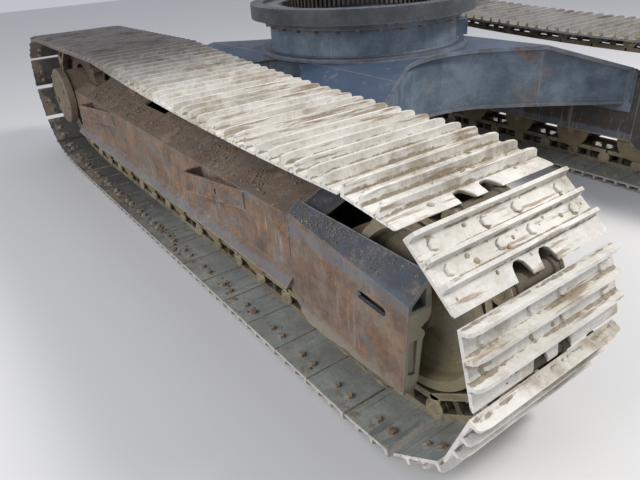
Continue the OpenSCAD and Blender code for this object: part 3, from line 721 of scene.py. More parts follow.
class Coat:
    """Builds the material of one finish, layer by layer: the colour so far, and how far dirt covers the paint."""

    def __init__(self, finish: Finish, patterns: Patterns) -> None:
        """Starts an empty material with the object's coordinates and a fine noise.

        Args:
            finish: The finish.
            patterns: The shared node groups.
        """
        self.finish, self.patterns = finish, patterns
        self.material = bpy.data.materials.new(finish.name)
        self.material.use_nodes = True
        self.material.node_tree.nodes.clear()
        self.g = Graph(self.material.node_tree)
        self.where = self.g.add("ShaderNodeTexCoord").outputs["Object"]
        self.fine = self.noise(90, 4.0, 0.7)
        self.colour = self.cover = self.rear = 0.0

    def noise(self, waves: float, detail: float = 4.0, rough: float = 0.6) -> Socket:
        """Noise over the surface, with so many waves a metre times the finish's scale."""
        return self.g.noise(self.where, waves * self.finish.scale, detail, rough)

    def wander(self, waves: float, detail: float, rough: float, swing: float) -> Socket:
        """Noise round 0 that makes an edge wander."""
        return self.g.around(self.where, waves * self.finish.scale, detail, rough, swing)

    def pattern(self, tree: Tree, waves: float, **values: float) -> Socket:
        """The mask of a shared pattern."""
        return self.g.group(tree, {"Vector": self.where, "Scale": waves * self.finish.scale, **values})

    def blend(self, mask: Value, one: str, other: str) -> Socket:
        """Two of the finish's colours, mixed by a mask."""
        return self.g.mix(mask, srgb(one), srgb(other))

    def lay(self, mask: Socket, share: float, over: Value | str, blend: str = "MIX") -> None:
        """Lays a colour over those below, by a share of its mask."""
        over = srgb(over) if isinstance(over, str) else over
        self.colour = self.g.mix(self.g.math("MULTIPLY", mask, share), self.colour, over, blend)

    def paint(self) -> None:
        """The bare finish: two tones, the patina's patches and a fine grain that lightens and darkens them."""
        f, g = self.finish, self.g
        self.colour = self.blend(g.ramp(self.noise(7, 6.0, 0.68), 0.36, 0.64), f.base, f.second)
        if f.patina:
            self.lay(g.ramp(self.noise(9, 8.0, 0.76), 0.50, 0.60), f.patina_share, f.patina)
        grain = g.mix(self.fine, (0.16, 0.16, 0.16, 1), (0.86, 0.86, 0.86, 1))
        self.colour = g.mix(0.55, self.colour, grain, "OVERLAY")

    def rust(self) -> None:
        """Uneven patches of rust in two tones."""
        f, g = self.finish, self.g
        patch = self.pattern(self.patterns.patches, f.rust_scale, Level=f.rust_level, Soft=f.rust_soft)
        self.cover = g.math("MULTIPLY", patch, f.rust_share)
        tone = g.ramp(self.noise(22, 7.0, 0.72), 0.38, 0.66)
        self.lay(self.cover, 1.0, self.blend(tone, f.rust, f.rust_light))

    def zones(self) -> None:
        """Faces that look up, forward or inwards, and the band.

        Each is a smooth step over a part of the normal or over a place, moved to and fro by noise.
        """
        f, g = self.finish, self.g
        broken = self.wander(12, 6.0, 0.7, 1.2)
        facing = g.split(g.add("ShaderNodeNewGeometry").outputs["Normal"])
        place = g.split(self.where)
        if f.slope:
            self.lay(g.ramp(g.math("ADD", facing["Z"], broken), 0.25, 0.5), f.slope_share, f.slope)
        # Forward faces: a painted light, as where light from the front falls.
        if f.ahead:
            self.lay(g.ramp(g.math("ADD", facing["X"], broken), 0.5, 0.75), 1.0, f.ahead)
        # Inward faces between the tracks: a painted shade, with some oily dirt.
        if f.inner:
            out = g.math("ADD", g.math("ABSOLUTE", place["Y"]), g.math("MULTIPLY", broken, 0.05))
            self.lay(g.ramp(out, 0.90, 0.87), 0.85, f.inner)
        # The band between two heights: partly a painted highlight along a bend.
        if f.band:
            edge = g.math("ADD", place["Z"], g.math("MULTIPLY", broken, 0.045))
            self.lay(g.math("MULTIPLY", g.ramp(edge, f.band_low - 0.01, f.band_low),
                            g.ramp(edge, f.band_high + 0.012, f.band_high)), 0.5, f.band)

    def marks(self) -> None:
        """Worn edges, streaks that run down, marks dragged across the track, and pale flecks."""
        f, shared = self.finish, self.patterns
        self.lay(self.pattern(shared.wear, 45, Width=f.wear_width, Amount=f.wear), 1.0, f.worn)
        self.lay(self.pattern(shared.drips, f.drip_scale, Level=f.drip_level), f.drip_share, f.drips)
        if f.drags:
            self.lay(self.pattern(shared.drags, 60, Level=f.drag_level), 0.8, f.drags)
        if f.fleck:
            self.flecks()

    def flecks(self) -> None:
        """Round specks of random size in scattered cells, kept where a broad noise is high."""
        f, g = self.finish, self.g
        cell = g.add("ShaderNodeTexVoronoi", {"Vector": self.where, "Scale": f.fleck_scale * f.scale,
                                              "Randomness": 1.0}).outputs
        size = g.math("MULTIPLY", g.add("ShaderNodeSeparateColor", {0: cell["Color"]}).outputs[0], 0.32)
        spot = g.math("LESS_THAN", cell["Distance"], g.math("SUBTRACT", size, 0.1))
        self.lay(g.math("MULTIPLY", spot, g.ramp(self.noise(11), 0.42, 0.6)), f.fleck, f.dust)

    def dust(self) -> None:
        """Dust on the faces that look up."""
        dust = self.pattern(self.patterns.dust, 16, Amount=self.finish.dust_amount)
        self.lay(dust, 1.0, self.blend(self.fine, self.finish.dust, self.finish.second))
        self.cover = self.g.math("MAXIMUM", self.cover, dust)

    def core(self) -> None:
        """Painted shade inside the chain, up to a distance from its middle."""
        off = self.g.math("SUBTRACT", self.g.math("ABSOLUTE", self.g.split(self.where)["Y"]), GAUGE / 2)
        self.lay(self.g.ramp(self.g.math("ABSOLUTE", off), 0.0875, 0.082), 0.85, self.finish.core)

    def painted_rear_shade(self) -> None:
        """Painted shadow towards the rear, with some dirt: a smooth step over x that wanders with noise, and a share
        of it on the far side.
        """
        f, g = self.finish, self.g
        place = g.split(self.where)
        # Mask of the painted shadow over the rear, kept for the soil.
        rear = g.ramp(g.math("ADD", place["X"], self.wander(5, 5.0, 0.7, 1.2)), f.rear_shadow_from, f.rear_shadow_to)
        self.rear = g.math("MAXIMUM", rear, g.math("MULTIPLY", g.ramp(place["Y"], 0.3, 0.6), f.far_shade_share))
        self.lay(self.rear, 1.0, f.rear_shadow, "MULTIPLY")

    def soil(self) -> None:
        """Soil where the piece's soil attribute plus fine and broad noise is high, a little more under the painted
        rear shadow, which adds painted shade at the rear.
        """
        f, g = self.finish, self.g
        level = g.add("ShaderNodeAttribute", attribute_name="soil", attribute_type="GEOMETRY").outputs["Fac"]
        # The last part raises the soil under the painted rear shadow, as more painted shade.
        for part in (self.wander(26, 6.0, 0.72, 1.5), self.wander(4, 3.0, 0.6, 1.6),
                     g.math("MULTIPLY", self.rear, 0.25)):
            level = g.math("ADD", level, part)
        soil = g.math("MULTIPLY", g.ramp(level, 0.62, 0.76), f.soil_share)
        self.lay(soil, 1.0, self.blend(g.ramp(self.fine, 0.35, 0.65), f.soil, f.mud))
        self.cover = g.math("MAXIMUM", self.cover, soil)

    def mud(self) -> None:
        """Mud below a line whose height wanders with noise."""
        f = self.finish
        edge = self.g.math("ADD", self.g.split(self.where)["Z"], self.wander(13, 7.0, 0.75, 2.2 * f.mud_fade))
        mask = self.g.ramp(edge, f.mud_top + f.mud_fade, f.mud_top)
        self.lay(mask, 0.85, self.blend(self.fine, f.mud, f.dust))

    def surface(self) -> None:
        """The shader: dull and rough where dirt covers it, with a raised grain, and metal where it is bare."""
        f, g = self.finish, self.g
        rough = g.math("ADD", f.rough, g.math("MULTIPLY", self.cover, 0.9 - f.rough))
        height = g.math("ADD", self.pattern(self.patterns.grain, 110), g.math("MULTIPLY", self.cover, 0.6))
        bump = g.add("ShaderNodeBump", {"Height": height, "Strength": f.bump, "Distance": 0.002}).outputs[0]
        inputs = {"Base Color": self.colour, "Roughness": rough, "Normal": bump}
        if f.metal:
            inputs["Metallic"] = g.math("MULTIPLY", g.math("SUBTRACT", 1.0, self.cover, clamp=True), f.metal)
        g.add("ShaderNodeOutputMaterial", {0: g.add("ShaderNodeBsdfPrincipled", inputs).outputs[0]})

    def build(self) -> Material:
        """Lays the layers that the finish has, from the paint up to the mud.

        Returns:
            The material with all its nodes.
        """
        f = self.finish
        layers = [(self.paint, True), (self.rust, True), (self.zones, f.slope or f.ahead or f.inner or f.band),
                  (self.marks, True), (self.dust, True), (self.core, f.core), (self.painted_rear_shade, f.rear_shadow),
                  (self.soil, f.soil), (self.mud, f.mud_top), (self.surface, True)]
        for layer, present in layers:
            if present:
                layer()
        return self.material


FINISHES = {
    "body_paint": Finish("weathered slate body paint", "46535f", "64717d", rust="5c4a41", rust_light="8a6a55",
        rust_level=0.63, drips="838c95", drip_level=0.64, worn="86705f", wear_width=0.006, wear=1.0, dust="7f868e",
        dust_amount=0.4, slope="3b4a60", bump=0.4),
    "ring_steel": Finish("greased ring steel", "4b4945", "6c6963", rust_level=0.62, wear=0.6, dust_amount=0.3,
        rough=0.35, metal=0.8, bump=0.2),
    "ring_paint": Finish("dull dark ring paint", "34373b", "4a4e53", rust_level=0.64, drips="6d675c", drip_share=0.3,
        worn="6f6c67", dust="77736a", dust_amount=0.4, bump=0.3),
    "swivel_paint": Finish("grey swivel paint", "4b5054", "666b6e", rust_level=0.6, bump=0.5),
    "machined_steel": Finish("turned steel", "85837f", "a09d96", rust_level=0.62, wear=0.3, dust_amount=0.3,
        rough=0.35, metal=0.9, bump=0.15),
    # Frame: its inward side gets a painted shade, with some oily dirt.
    # Frame: the band along the lower flange is partly a painted highlight.
    "frame_paint": Finish("rusty frame paint", "5f5147", "857768", rust="524137", rust_light="966d4d",
        rust_level=0.51, rust_soft=0.12, rust_share=0.8, rust_scale=22.0, drips="b0a593", drip_level=0.58,
        drip_share=0.45, worn="94897a", wear_width=0.008, wear=0.7, dust="a09484", slope="766759", slope_share=0.6,
        patina="69737b", inner="3c3a3b", band="767d86", band_low=0.2, band_high=0.224, mud_top=0.196, mud_fade=0.008,
        rough=0.75, bump=1.0, fleck=0.8, fleck_scale=58.0, drip_scale=85.0),
    # Guide: its forward faces, the end plate among them, get a painted light.
    # Guide: its inward side gets a painted shade, with some oily dirt.
    # Guide: the band under the bend and the teal-grey worn edges are partly a painted highlight along the bend,
    # partly wear.
    "guide_paint": Finish("worn guide paint", "6a594c", "887765", rust="57463b", rust_light="996c4b", rust_soft=0.14,
        rust_share=0.75, rust_scale=24.0, drips="b0a697", drip_level=0.6, drip_share=0.26, worn="828a90",
        wear_width=0.006, wear=0.7, dust="9a8f7e", dust_amount=0.45, slope="455260", slope_share=0.78,
        patina="66707a", patina_share=0.4, ahead="b8b09b", inner="3c3a3b", band="667079", band_low=0.4,
        band_high=0.43, mud="82765f", mud_top=0.15, mud_fade=0.03, rough=0.68, bump=1.4, fleck=0.7, fleck_scale=70.0,
        drip_scale=85.0),
    "yoke_paint": Finish("muddy yoke", "5d5646", "756b55", dust="8f8467", mud="83785d", mud_top=0.3, rough=0.8),
    "spring_steel": Finish("spring steel", "3d3d3c", "55524d", rust_level=0.55, dust_amount=0.4, metal=0.6, bump=0.5),
    "idler_iron": Finish("dusty idler iron", "746b5a", "877d6b", rust="62573f", rust_light="8a7b58", drips="8d8268",
        drip_share=0.3, worn="9a917a", wear=0.5, dust="8f866a", dust_amount=0.45, mud="786e53", mud_top=0.2,
        rough=0.75, bump=0.6, fleck=0.3),
    "roller_iron": Finish("rusty roller iron", "58463a", "6c5847", rust_level=0.5, worn="98938a", wear=0.9,
        dust="8a7c62", mud="8a7b5b", mud_top=0.13, rough=0.75),
    "bracket_paint": Finish("dusty bracket paint", "555a5a", "6c6c66", rust_level=0.55, dust="93896f", mud="8a7d61",
        mud_top=0.25, rough=0.65, bump=0.6),
    "drive_paint": Finish("mud-covered drive cover", "6b6052", "7f7364", rust="655444", rust_light="86705a",
        rust_level=0.55, drips="75674e", drip_level=0.6, drip_share=0.5, worn="a5936f", wear=0.6, dust="948970",
        rough=0.8, bump=0.9, fleck=0.4),
    "sprocket_iron": Finish("sprocket iron", "5f564a", "766b5b", worn="a39d92", wear=1.0, dust="8c8067",
        dust_amount=0.45, rough=0.65, metal=0.3, bump=0.7),
    # Shoe steel: the rear and the far track are darkened by a painted shadow, with some dirt.
    "track_steel": Finish("dusty shoe steel", "c8c4bb", "dedbd3", rust="8b7f6c", rust_light="a59780", rust_level=0.58,
        rust_soft=0.1, drips="968c7c", drip_share=0.2, drags="8a745a", worn="dedbd5", wear_width=0.003, wear=1.0,
        dust="dad7cf", dust_amount=0.4, rear_shadow="78767b", far_shade_share=0.8, soil="6f604b", mud="8d8069", mud_top=0.02,
        mud_fade=0.05, rough=0.7, bump=0.7),
    # Inner faces: a painted shadow, with some dirt, towards the rear.
    "shoe_inner": Finish("grey shoe inner face", "848984", "9b9e97", rust="6f6a61", rust_light="8b8172",
        rust_level=0.54, rust_soft=0.12, rust_share=0.6, rust_scale=12.0, drip_share=0.15, drags="666b67",
        drag_level=0.58, worn="aaada6", wear=0.9, dust="93958d", dust_amount=0.45, rear_shadow="989599", rear_shadow_from=0.3,
        rear_shadow_to=-0.7, soil="7d7060", soil_share=0.9, mud="91846f", rough=0.7, fleck=0.5),
    # Link steel: the bushings and the inner faces of the links get a painted shade.
    "link_steel": Finish("dusty link steel", "8b7e65", "a6997d", rust="5f5444", rust_light="85745a", rust_level=0.54,
        worn="bfb496", wear=1.0, dust="ab9d7d", dust_amount=0.6, core="453d33", rough=0.7, metal=0.2),
    "bolt_rust": Finish("rusty bolt", "7b7366", "948b7b", rust_level=0.55, worn="9c9383", dust="9a8f7a", scale=2.0,
        rough=0.75, bump=0.6),
    "bolt_paint": Finish("painted bolt", "474f58", "5f6a74", rust_level=0.5, worn="8a6f5c", wear=1.0, dust="82868a",
        dust_amount=0.4, scale=2.0, bump=0.4),
    "weld": Finish("weld bead", "6b6a64", "86837a", rust="6a5344", rust_light="936f55", dust="8f8877",
        dust_amount=0.4, scale=2.0, rough=0.7),
    "body_weld": Finish("painted weld", "3f4853", "56616d", rust_level=0.55, worn="866c59", dust="82868a",
        dust_amount=0.3, scale=2.0, rough=0.55, bump=0.6),
    "mud": Finish("dried mud", "85765a", "998a6b", rust="75664b", rust_light="8d7c5c", rust_level=0.5, wear=0.0,
        dust="a3946f", scale=2.0, rough=0.95, bump=1.0),
    # The clods carry the same painted rear shadow as the shoes.
    "pale_mud": Finish("pale clods", "988c78", "b0a592", rust="7d6c55", rust_light="95815f", wear=0.0, dust="c2b9a8",
        dust_amount=0.6, rear_shadow="78767b", far_shade_share=0.8, scale=2.0, rough=0.95, bump=1.0),
    "slope_soil": Finish("brown soil", "63564a", "8a7c6d", rust="54473e", rust_light="94714f", rust_soft=0.05,
        wear=0.0, dust="a0937f", scale=2.0, rough=0.95, bump=1.2, fleck=0.8, fleck_scale=32.0),
    "stone": Finish("gravel", "736b5f", "9a917f", rust="6a5c49", rust_light="94836a", wear=0.0, dust="b0a68f",
        scale=3.0, rough=0.95, bump=0.6),
}


# ---------------------------------------------------------------- the track


@dataclass(frozen=True)
class Chain:
    """The closed path of a track chain in the plane of x and z."""

    pitch: float = 0.175
    teeth: int = 21
    idler_pin_r: float = 0.290  # of the pins' way round the idler
    axles: float = 2.940  # from the sprocket's middle to the idler's
    rise: float = 0.041  # of the sprocket's middle over the idler's
    pin_z: float = TIP_H  # of the pins on the ground
    carrier_x: float = -0.340
    carrier_gap: float = 0.013  # of the pins at the carrier roller over the top of the sprocket's pin circle
    sag: float = 0.022  # between the carrier roller and the idler
    roller_rear_x: float = -1.030
    lift_off: float = 0.8  # pitches from the last roller to where the chain leaves the ground

    def pins(self) -> np.ndarray:
        """Centres of the pins, in the order in which the chain runs round the sprocket and forward on top.

        The path has six stretches: round the sprocket, straight to the carrier roller, a parabola to the
        idler, round the idler, along the ground and up to the sprocket. Each is cut into whole links.

        Returns:
            An array (links, 2) of x and z.
        """
        p, r = self.pitch, self.pitch / (2 * math.sin(TAU / self.teeth))
        idler = np.array([self.axles / 2, self.pin_z + self.idler_pin_r])
        drive = np.array([-self.axles / 2, idler[1] + self.rise])
        bend = np.array([self.roller_rear_x - self.lift_off * p, self.pin_z])
        carrier = np.array([self.carrier_x, drive[1] + r + self.carrier_gap])

        def touch(c: np.ndarray, radius: float, q: np.ndarray, side: int) -> float:
            """Angle of the point where a line from q touches the circle."""
            return math.atan2(q[1] - c[1], q[0] - c[0]) + side * math.acos(radius / np.linalg.norm(q - c))

        def on_circle(c: np.ndarray, radius: float, a: np.ndarray | float) -> np.ndarray:
            """Points at angles on a circle."""
            return np.stack([c[0] + radius * np.cos(a), c[1] + radius * np.sin(a)], axis=-1)

        def gap(a: np.ndarray, b: np.ndarray) -> float:
            """Distance of two points in pitches."""
            return float(np.linalg.norm(b - a)) / p

        def mix(a: np.ndarray, b: np.ndarray, w: np.ndarray) -> np.ndarray:
            """Points at shares of the way from a to b."""
            return a + (b - a) * w

        low, top = touch(drive, r, bend, -1), touch(drive, r, carrier, 1)
        over = touch(idler, self.idler_pin_r, carrier, -1)
        round_idler = over + math.pi / 2
        drive_step, idler_step = 2 * TAU / self.teeth, 2 * math.asin(p / (2 * self.idler_pin_r))
        p_low, p_top = on_circle(drive, r, low), on_circle(drive, r, top)
        p_over, foot = on_circle(idler, self.idler_pin_r, over), np.array([idler[0], self.pin_z])
        lengths = np.array([gap(p_top, carrier), gap(carrier, p_over), round_idler / idler_step,
                            gap(foot, bend), gap(bend, p_low)])
        around = (TAU - top + low) / drive_step
        links = round(around + lengths.sum())
        u = np.arange(links) + 0.5
        ends = np.concatenate([[0], np.cumsum(lengths)])
        s = (u - around) * lengths.sum() / (links - around)
        t = [np.clip((s - ends[k]) / lengths[k], 0, 1)[:, None] for k in range(5)]
        hang = mix(carrier, p_over, t[1]) + np.array([0.0, -4 * self.sag]) * (t[1] * (1 - t[1]))
        parts = [on_circle(drive, r, low - drive_step * u), mix(p_top, carrier, t[0]), hang,
                 on_circle(idler, self.idler_pin_r, over - round_idler * t[2][:, 0]),
                 mix(foot, bend, t[3]), mix(bend, p_low, t[4])]
        which = np.where(u < around, 0, 1 + np.clip(np.searchsorted(ends, s, side="right") - 1, 0, 4))
        return np.array(parts)[which, np.arange(links)]

    def frames(self, side: Side) -> np.ndarray:
        """Frames of the links: local x along the link from its middle, y outwards, z away from the pin line.

        Args:
            side: Which track.

        Returns:
            An array (links, 3, 4).
        """
        pins, s = self.pins(), float(side.value)
        ahead = np.roll(pins, -1, axis=0)
        along = unit(ahead - pins)
        x = np.insert(along, 1, 0.0, axis=1)
        y = np.zeros_like(x) + np.array([0.0, s, 0.0])
        z = np.insert(along[:, ::-1] * np.array([-1.0, 1.0]), 1, 0.0, axis=1)
        at = np.insert((pins + ahead) / 2, 1, s * GAUGE / 2, axis=1)
        return np.stack([x, y, z, at], axis=-1)


@dataclass
class Track:
    """One track: shoes with three ridges on a chain of link pairs, and the clods on them.

    Places are in a link's own frame: x along the link from its middle, v across the track.
    """

    side: Side
    materials: dict[str, Material]
    chain: Chain = field(default_factory=Chain)
    heel: float = -0.485 * Chain.pitch
    toe: float = 0.510 * Chain.pitch
    ridges: tuple[float, ...] = (-0.0790, -0.0215, 0.0350)
    ridge_half: float = 0.0044  # half the width of a ridge's tip
    ridge_flank: float = 0.0056  # where its flank turns out into the fillet
    ridge_foot: float = 0.0090
    bolt_x: tuple[float, ...] = (-0.0500, 0.0068)
    bolt_v: tuple[float, ...] = (-0.200, -0.050, 0.050, 0.200)
    lanes: tuple[float, ...] = (*bolt_x, 0.062)  # where clods lie between the ridges and in front of them
    cut_v: float = 0.042  # middle of a cut-out
    cut_half: float = 0.025
    cut_deep: float = 0.041
    link_v: float = 0.071  # middle of a link
    link_half: float = 0.019

    def __post_init__(self) -> None:
        """Works out the links' frames and starts the random numbers."""
        self.frames = self.chain.frames(self.side)
        self.rng = np.random.default_rng(11 + self.side.value)

    def section(self) -> tuple[np.ndarray, np.ndarray, np.ndarray]:
        """The shoe's section: a plate with three ridges whose flanks run out in a fillet, and a lip in front.

        Returns:
            Places along the link; heights, as a share of the ridges' or, below 0, of the plate's; and the soil,
            which is thick at the feet of the ridges and none on their tips.
        """
        near, far = self.ridge_half, self.ridge_foot
        rows = [(self.heel, 0.0, 0.6)]
        for k, ridge in enumerate(self.ridges):
            last = k == len(self.ridges) - 1
            rows += [(ridge - far, 0.0, 0.95), (ridge - self.ridge_flank, 0.30, 0.6), (ridge - near, 1.0, -0.5),
                     (ridge + near, 1.0, -0.5), (ridge + self.ridge_flank, 0.30, 0.55), (ridge + far, 0.0, 0.85),
                     (ridge + far + 0.006, 0.0, 0.05),
                     (self.toe + 0.004 - 0.013 if last else self.ridges[k + 1] - far - 0.007, 0.0, 0.1)]
        rows.append((self.toe, -0.3, 0.2))
        x, up, soil = np.array(rows).T
        return np.maximum(x, self.heel), up, soil

    def shoe(self) -> tuple[Shell, Shell]:
        """Outer and inner surface of a shoe.

        The section is carried across the track. Two rounded cut-outs draw the lip's edge back over the chain:
        each is as deep as the root of one minus the cube of the share of its half width. Towards both ends of
        the shoe the ridges fall off.

        Returns:
            The outer shell with the rim, and the inner face.
        """
        x, up, soil = self.section()
        half = SHOE_W / 2
        fall_at = [half - 0.03, half - 0.006, half]
        rounded = np.sin(np.linspace(-1, 1, 9) * math.pi / 2)
        out = np.concatenate([self.cut_v + self.cut_half * rounded, [0.15], fall_at])
        v = np.concatenate([-out[::-1], [0.0], out])
        off = np.abs(np.abs(v) - self.cut_v) / self.cut_half
        bite = self.cut_deep * np.sqrt(np.clip(1 - off ** 3, 0, 1))
        fall = np.interp(np.abs(v), [0, *fall_at], [1, 1, 0.85, 0.6])
        xs = np.minimum(x[None, :], (self.toe - bite)[:, None])
        rise = np.where(up > 0, up * (TIP_H - PIN_TO_SHOE - SHOE_T), up * SHOE_T)[None, :]
        top = PIN_TO_SHOE + SHOE_T + rise * np.where(up > 0, fall[:, None], 1.0)
        under = np.full_like(xs, PIN_TO_SHOE)
        under[:, -1] += 0.45 * SHOE_T
        vv = np.repeat(v[:, None], len(x), axis=1)
        body = slab(np.stack([xs, vv, top], -1), np.stack([xs, vv, under], -1))
        inside = np.where(np.abs(np.abs(vv) - self.bolt_v[-1]) < 0.045, 0.5, 0.1)
        # The toe edge of the inner face gets thick soil: painted shade in the gap between shoes.
        inside[:, -1] = 1.2
        dirt = np.concatenate([np.repeat(soil[None], len(v), 0).ravel(), inside.ravel()])
        outer = len(body.sizes) - (len(v) - 1) * (len(x) - 1)
        return (Shell(body.points, body.corners[:4 * outer], body.sizes[:outer], dirt),
                Shell(body.points, body.corners[4 * outer:], body.sizes[outer:], dirt))

    def link_pair(self) -> Shell:
        """Both links of a pitch: a rail and a shoe bar joined by bosses round the pins and a middle post.

        Returns:
            The shells of the left and right link, with dark windows between the posts.
        """
        p, half = self.chain.pitch, self.link_half
        rail = np.array([[-0.60 * p, -0.043], [0.47 * p, -0.043], [0.485 * p, -0.035], [0.47 * p, -0.024],
                         [-0.60 * p, -0.024], [-0.615 * p, -0.034]])
        seat = np.array([[-0.42 * p, PIN_TO_SHOE], [-0.42 * p, 0.019], [-0.34 * p, 0.014], [0.34 * p, 0.014],
                         [0.40 * p, 0.019], [0.40 * p, PIN_TO_SHOE]])
        post = np.array([[-0.012, -0.030], [0.012, -0.030], [0.008, 0.0], [0.014, 0.022], [-0.014, 0.022],
                         [-0.008, 0.0]])
        rear_eye, front_eye = circle(0.033, 14) + [-p / 2, 0], circle(0.031, 14) + [p / 2, 0]
        shells = []
        for s in (-1, 1):
            low, high = sorted((s * (self.link_v - half), s * (self.link_v + half)))
            inside, outside = ((low, low + half), (high - half, high))[::s]
            shells += [prism(rail, low + 0.002, high - 0.002, 0.003), prism(seat, low + 0.004, high - 0.004, 0.003),
                       prism(post, low + 0.007, high - 0.007, 0.002),
                       prism(rear_eye, *inside, 0.003), prism(front_eye, *outside, 0.003)]
        return Shell.join(shells)

    def pin_row(self) -> Shell:
        """Pin ends and the bushing of one joint, across the track at the link's front pin."""
        sleeve, pin = (circle(radius, 16) + [self.chain.pitch / 2, 0] for radius in (0.0285, 0.017))
        return Shell.join([prism(sleeve, -0.055, 0.055), prism(pin, -0.0925, 0.0925, 0.003)])

    def bolts(self) -> tuple[Shell, Shell]:
        """Bolt heads between the ridges of the outer face, and the nuts at both ends of the inner face.

        Returns:
            The heads and the nuts.
        """
        sunk = PIN_TO_SHOE + SHOE_T - 0.001
        heads = hex_bolt(0.027, 0.0065).placed(
            aim(np.array([[x, v, sunk] for x in self.bolt_x for v in self.bolt_v]), UP, 0.4))
        heads.soil = np.full(len(heads.points), 0.25)
        nuts = hex_bolt(0.023, 0.009, 0.0015).placed(
            aim(np.array([[x, v, PIN_TO_SHOE] for x in self.bolt_x for v in self.bolt_v[::3]]), DOWN, 0.2))
        return heads, nuts

    def laid(self, links: np.ndarray, places: np.ndarray, size: np.ndarray, flat: float, way: float = 1.0) -> Shell:
        """Flattened clods on shoes, each turned at random.

        Args:
            links: The frame of the link under each clod, an array (k, 3, 4).
            places: Places in these frames, an array (k, 3).
            size: Radius of each clod.
            flat: Height over width.
            way: 1 for clods that stand outwards, -1 for inwards.

        Returns:
            The clods in one shell.
        """
        x, y, z, at = np.moveaxis(links, -1, 0)
        at = at + np.einsum("kij,kj->ki", links[..., :3], places)
        return lumps(framed(x, y, way * z, at, self.rng.uniform(0, TAU, len(at))), size, self.rng, flat)

    def loose_clods(self) -> Shell:
        """Small clods between the ridges, thick on the upper run and over the chain, none in the cut-outs.

        Returns:
            The clods.
        """
        rng, count, upper_z = self.rng, 760, 0.5
        links = self.frames[rng.integers(0, len(self.frames), count)]
        keep = (links[:, 2, 3] > upper_z) | (rng.uniform(0, 1, count) < 0.5)
        lane = rng.integers(0, len(self.lanes), count)
        x = np.array(self.lanes)[lane] + rng.normal(0, 0.010, count)
        v = spread(count, 0.55, (0.0, 0.09), (-0.235, 0.235), rng)
        keep &= (np.abs(v) < 0.238) & ((lane < 2) | (np.abs(np.abs(v) - self.cut_v) > 0.032))
        size = 0.0025 + 0.0075 * rng.uniform(0, 1, count) ** 3
        places = np.stack([x, v, np.full(count, PIN_TO_SHOE + SHOE_T)], -1)
        return self.laid(links[keep], places[keep], size[keep], 0.38)

    def bolt_clods(self) -> Shell:
        """Flat clods on three quarters of the bolt heads.

        Returns:
            The clods.
        """
        rng, heads = self.rng, [[x, v, PIN_TO_SHOE + SHOE_T - 0.001] for x in self.bolt_x for v in self.bolt_v]
        links = np.repeat(self.frames, len(heads), axis=0)
        places = np.tile(heads, (len(self.frames), 1))
        places[:, :2] += rng.normal(0, 0.0045, (len(places), 2))
        keep = rng.uniform(0, 1, len(places)) < 0.75
        size = 0.012 + 0.012 * rng.uniform(0, 1, len(places)) ** 1.5
        return self.laid(links[keep], places[keep], size[keep], 0.26)

    def inner_clods(self) -> Shell:
        """Clods along the outer nuts inside the shoes on the ground, fewer towards the front.

        Returns:
            The clods.
        """
        rng, count, (x, z) = self.rng, 420, self.frames[:, [0, 2], 3].T
        links = self.frames[rng.choice(np.flatnonzero((z < 0.16) & (x < 1.2)), count)]
        keep = rng.uniform(0, 1, count) < np.interp(links[:, 0, 3], [-1.2, 0.2, 0.9], [1.0, 0.7, 0.12])
        x = rng.uniform(-0.085, 0.085, count)
        v = spread(count, 0.85, (0.2, 0.016), (0.11, 0.24), rng)
        size = 0.003 + 0.009 * rng.uniform(0, 1, count) ** 2
        keep &= v < 0.235
        places = np.stack([x, v, np.full(count, PIN_TO_SHOE)], -1)
        return self.laid(links[keep], places[keep], size[keep], 0.55, -1.0)

    def build(self) -> None:
        """Makes the shoes and the chain, which together stand for the CAD track, and the clods on them."""
        m, word, frames = self.materials, self.side.word, self.frames
        node = f"track_{word}"
        outer, inner = self.shoe()
        heads, nuts = self.bolts()
        clods = Shell.join([self.loose_clods(), self.bolt_clods()])
        shoes = make_piece(f"shoes_{word}", [
            (outer.placed(frames), m["track_steel"]), (inner.placed(frames), m["shoe_inner"]),
            (heads.placed(frames), m["track_steel"]), (nuts.placed(frames), m["bolt_rust"])],
            "root", smooth=28)
        chain = make_piece(f"chain_{word}", [
            (self.link_pair().placed(frames), m["link_steel"]), (self.pin_row().placed(frames), m["link_steel"])],
            "root")
        make_piece(f"clods_{word}", [(clods, m["pale_mud"]), (self.inner_clods(), m["slope_soil"])],
                   "root", smooth=60)
        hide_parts(node)
        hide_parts(node)


# ---------------------------------------------------------------- fasteners, welds and soil


def on_side(side: Side, rows: list[Point]) -> np.ndarray:
    """Points given as x, v and z on one track unit, in the row frame."""
    return np.array(rows, float) * np.array([1, side.value, 1]) + np.array([0, side.value * GAUGE / 2, 0])


def run_along(points: np.ndarray, step: float) -> np.ndarray:
    """Points along straight lines from corner to corner, with the corners among them.

    Args:
        points: The corners.
        step: About the distance from point to point.

    Returns:
        An array (k, 3).
    """
    parts = []
    for a, b in zip(points[:-1], points[1:]):
        count = max(2, int(round(np.linalg.norm(b - a) / step)) + 1)
        parts.append(a + (b - a) * np.linspace(0, 1, count)[:-1, None])
    return np.concatenate(parts + [points[-1:]])


def weld(corners: np.ndarray, radius: float, wobble: float, rng: Rng) -> Shell:
    """A weld bead along straight lines from corner to corner."""
    step = 0.006
    return lumpy_bead(run_along(corners, step), radius, wobble, rng)


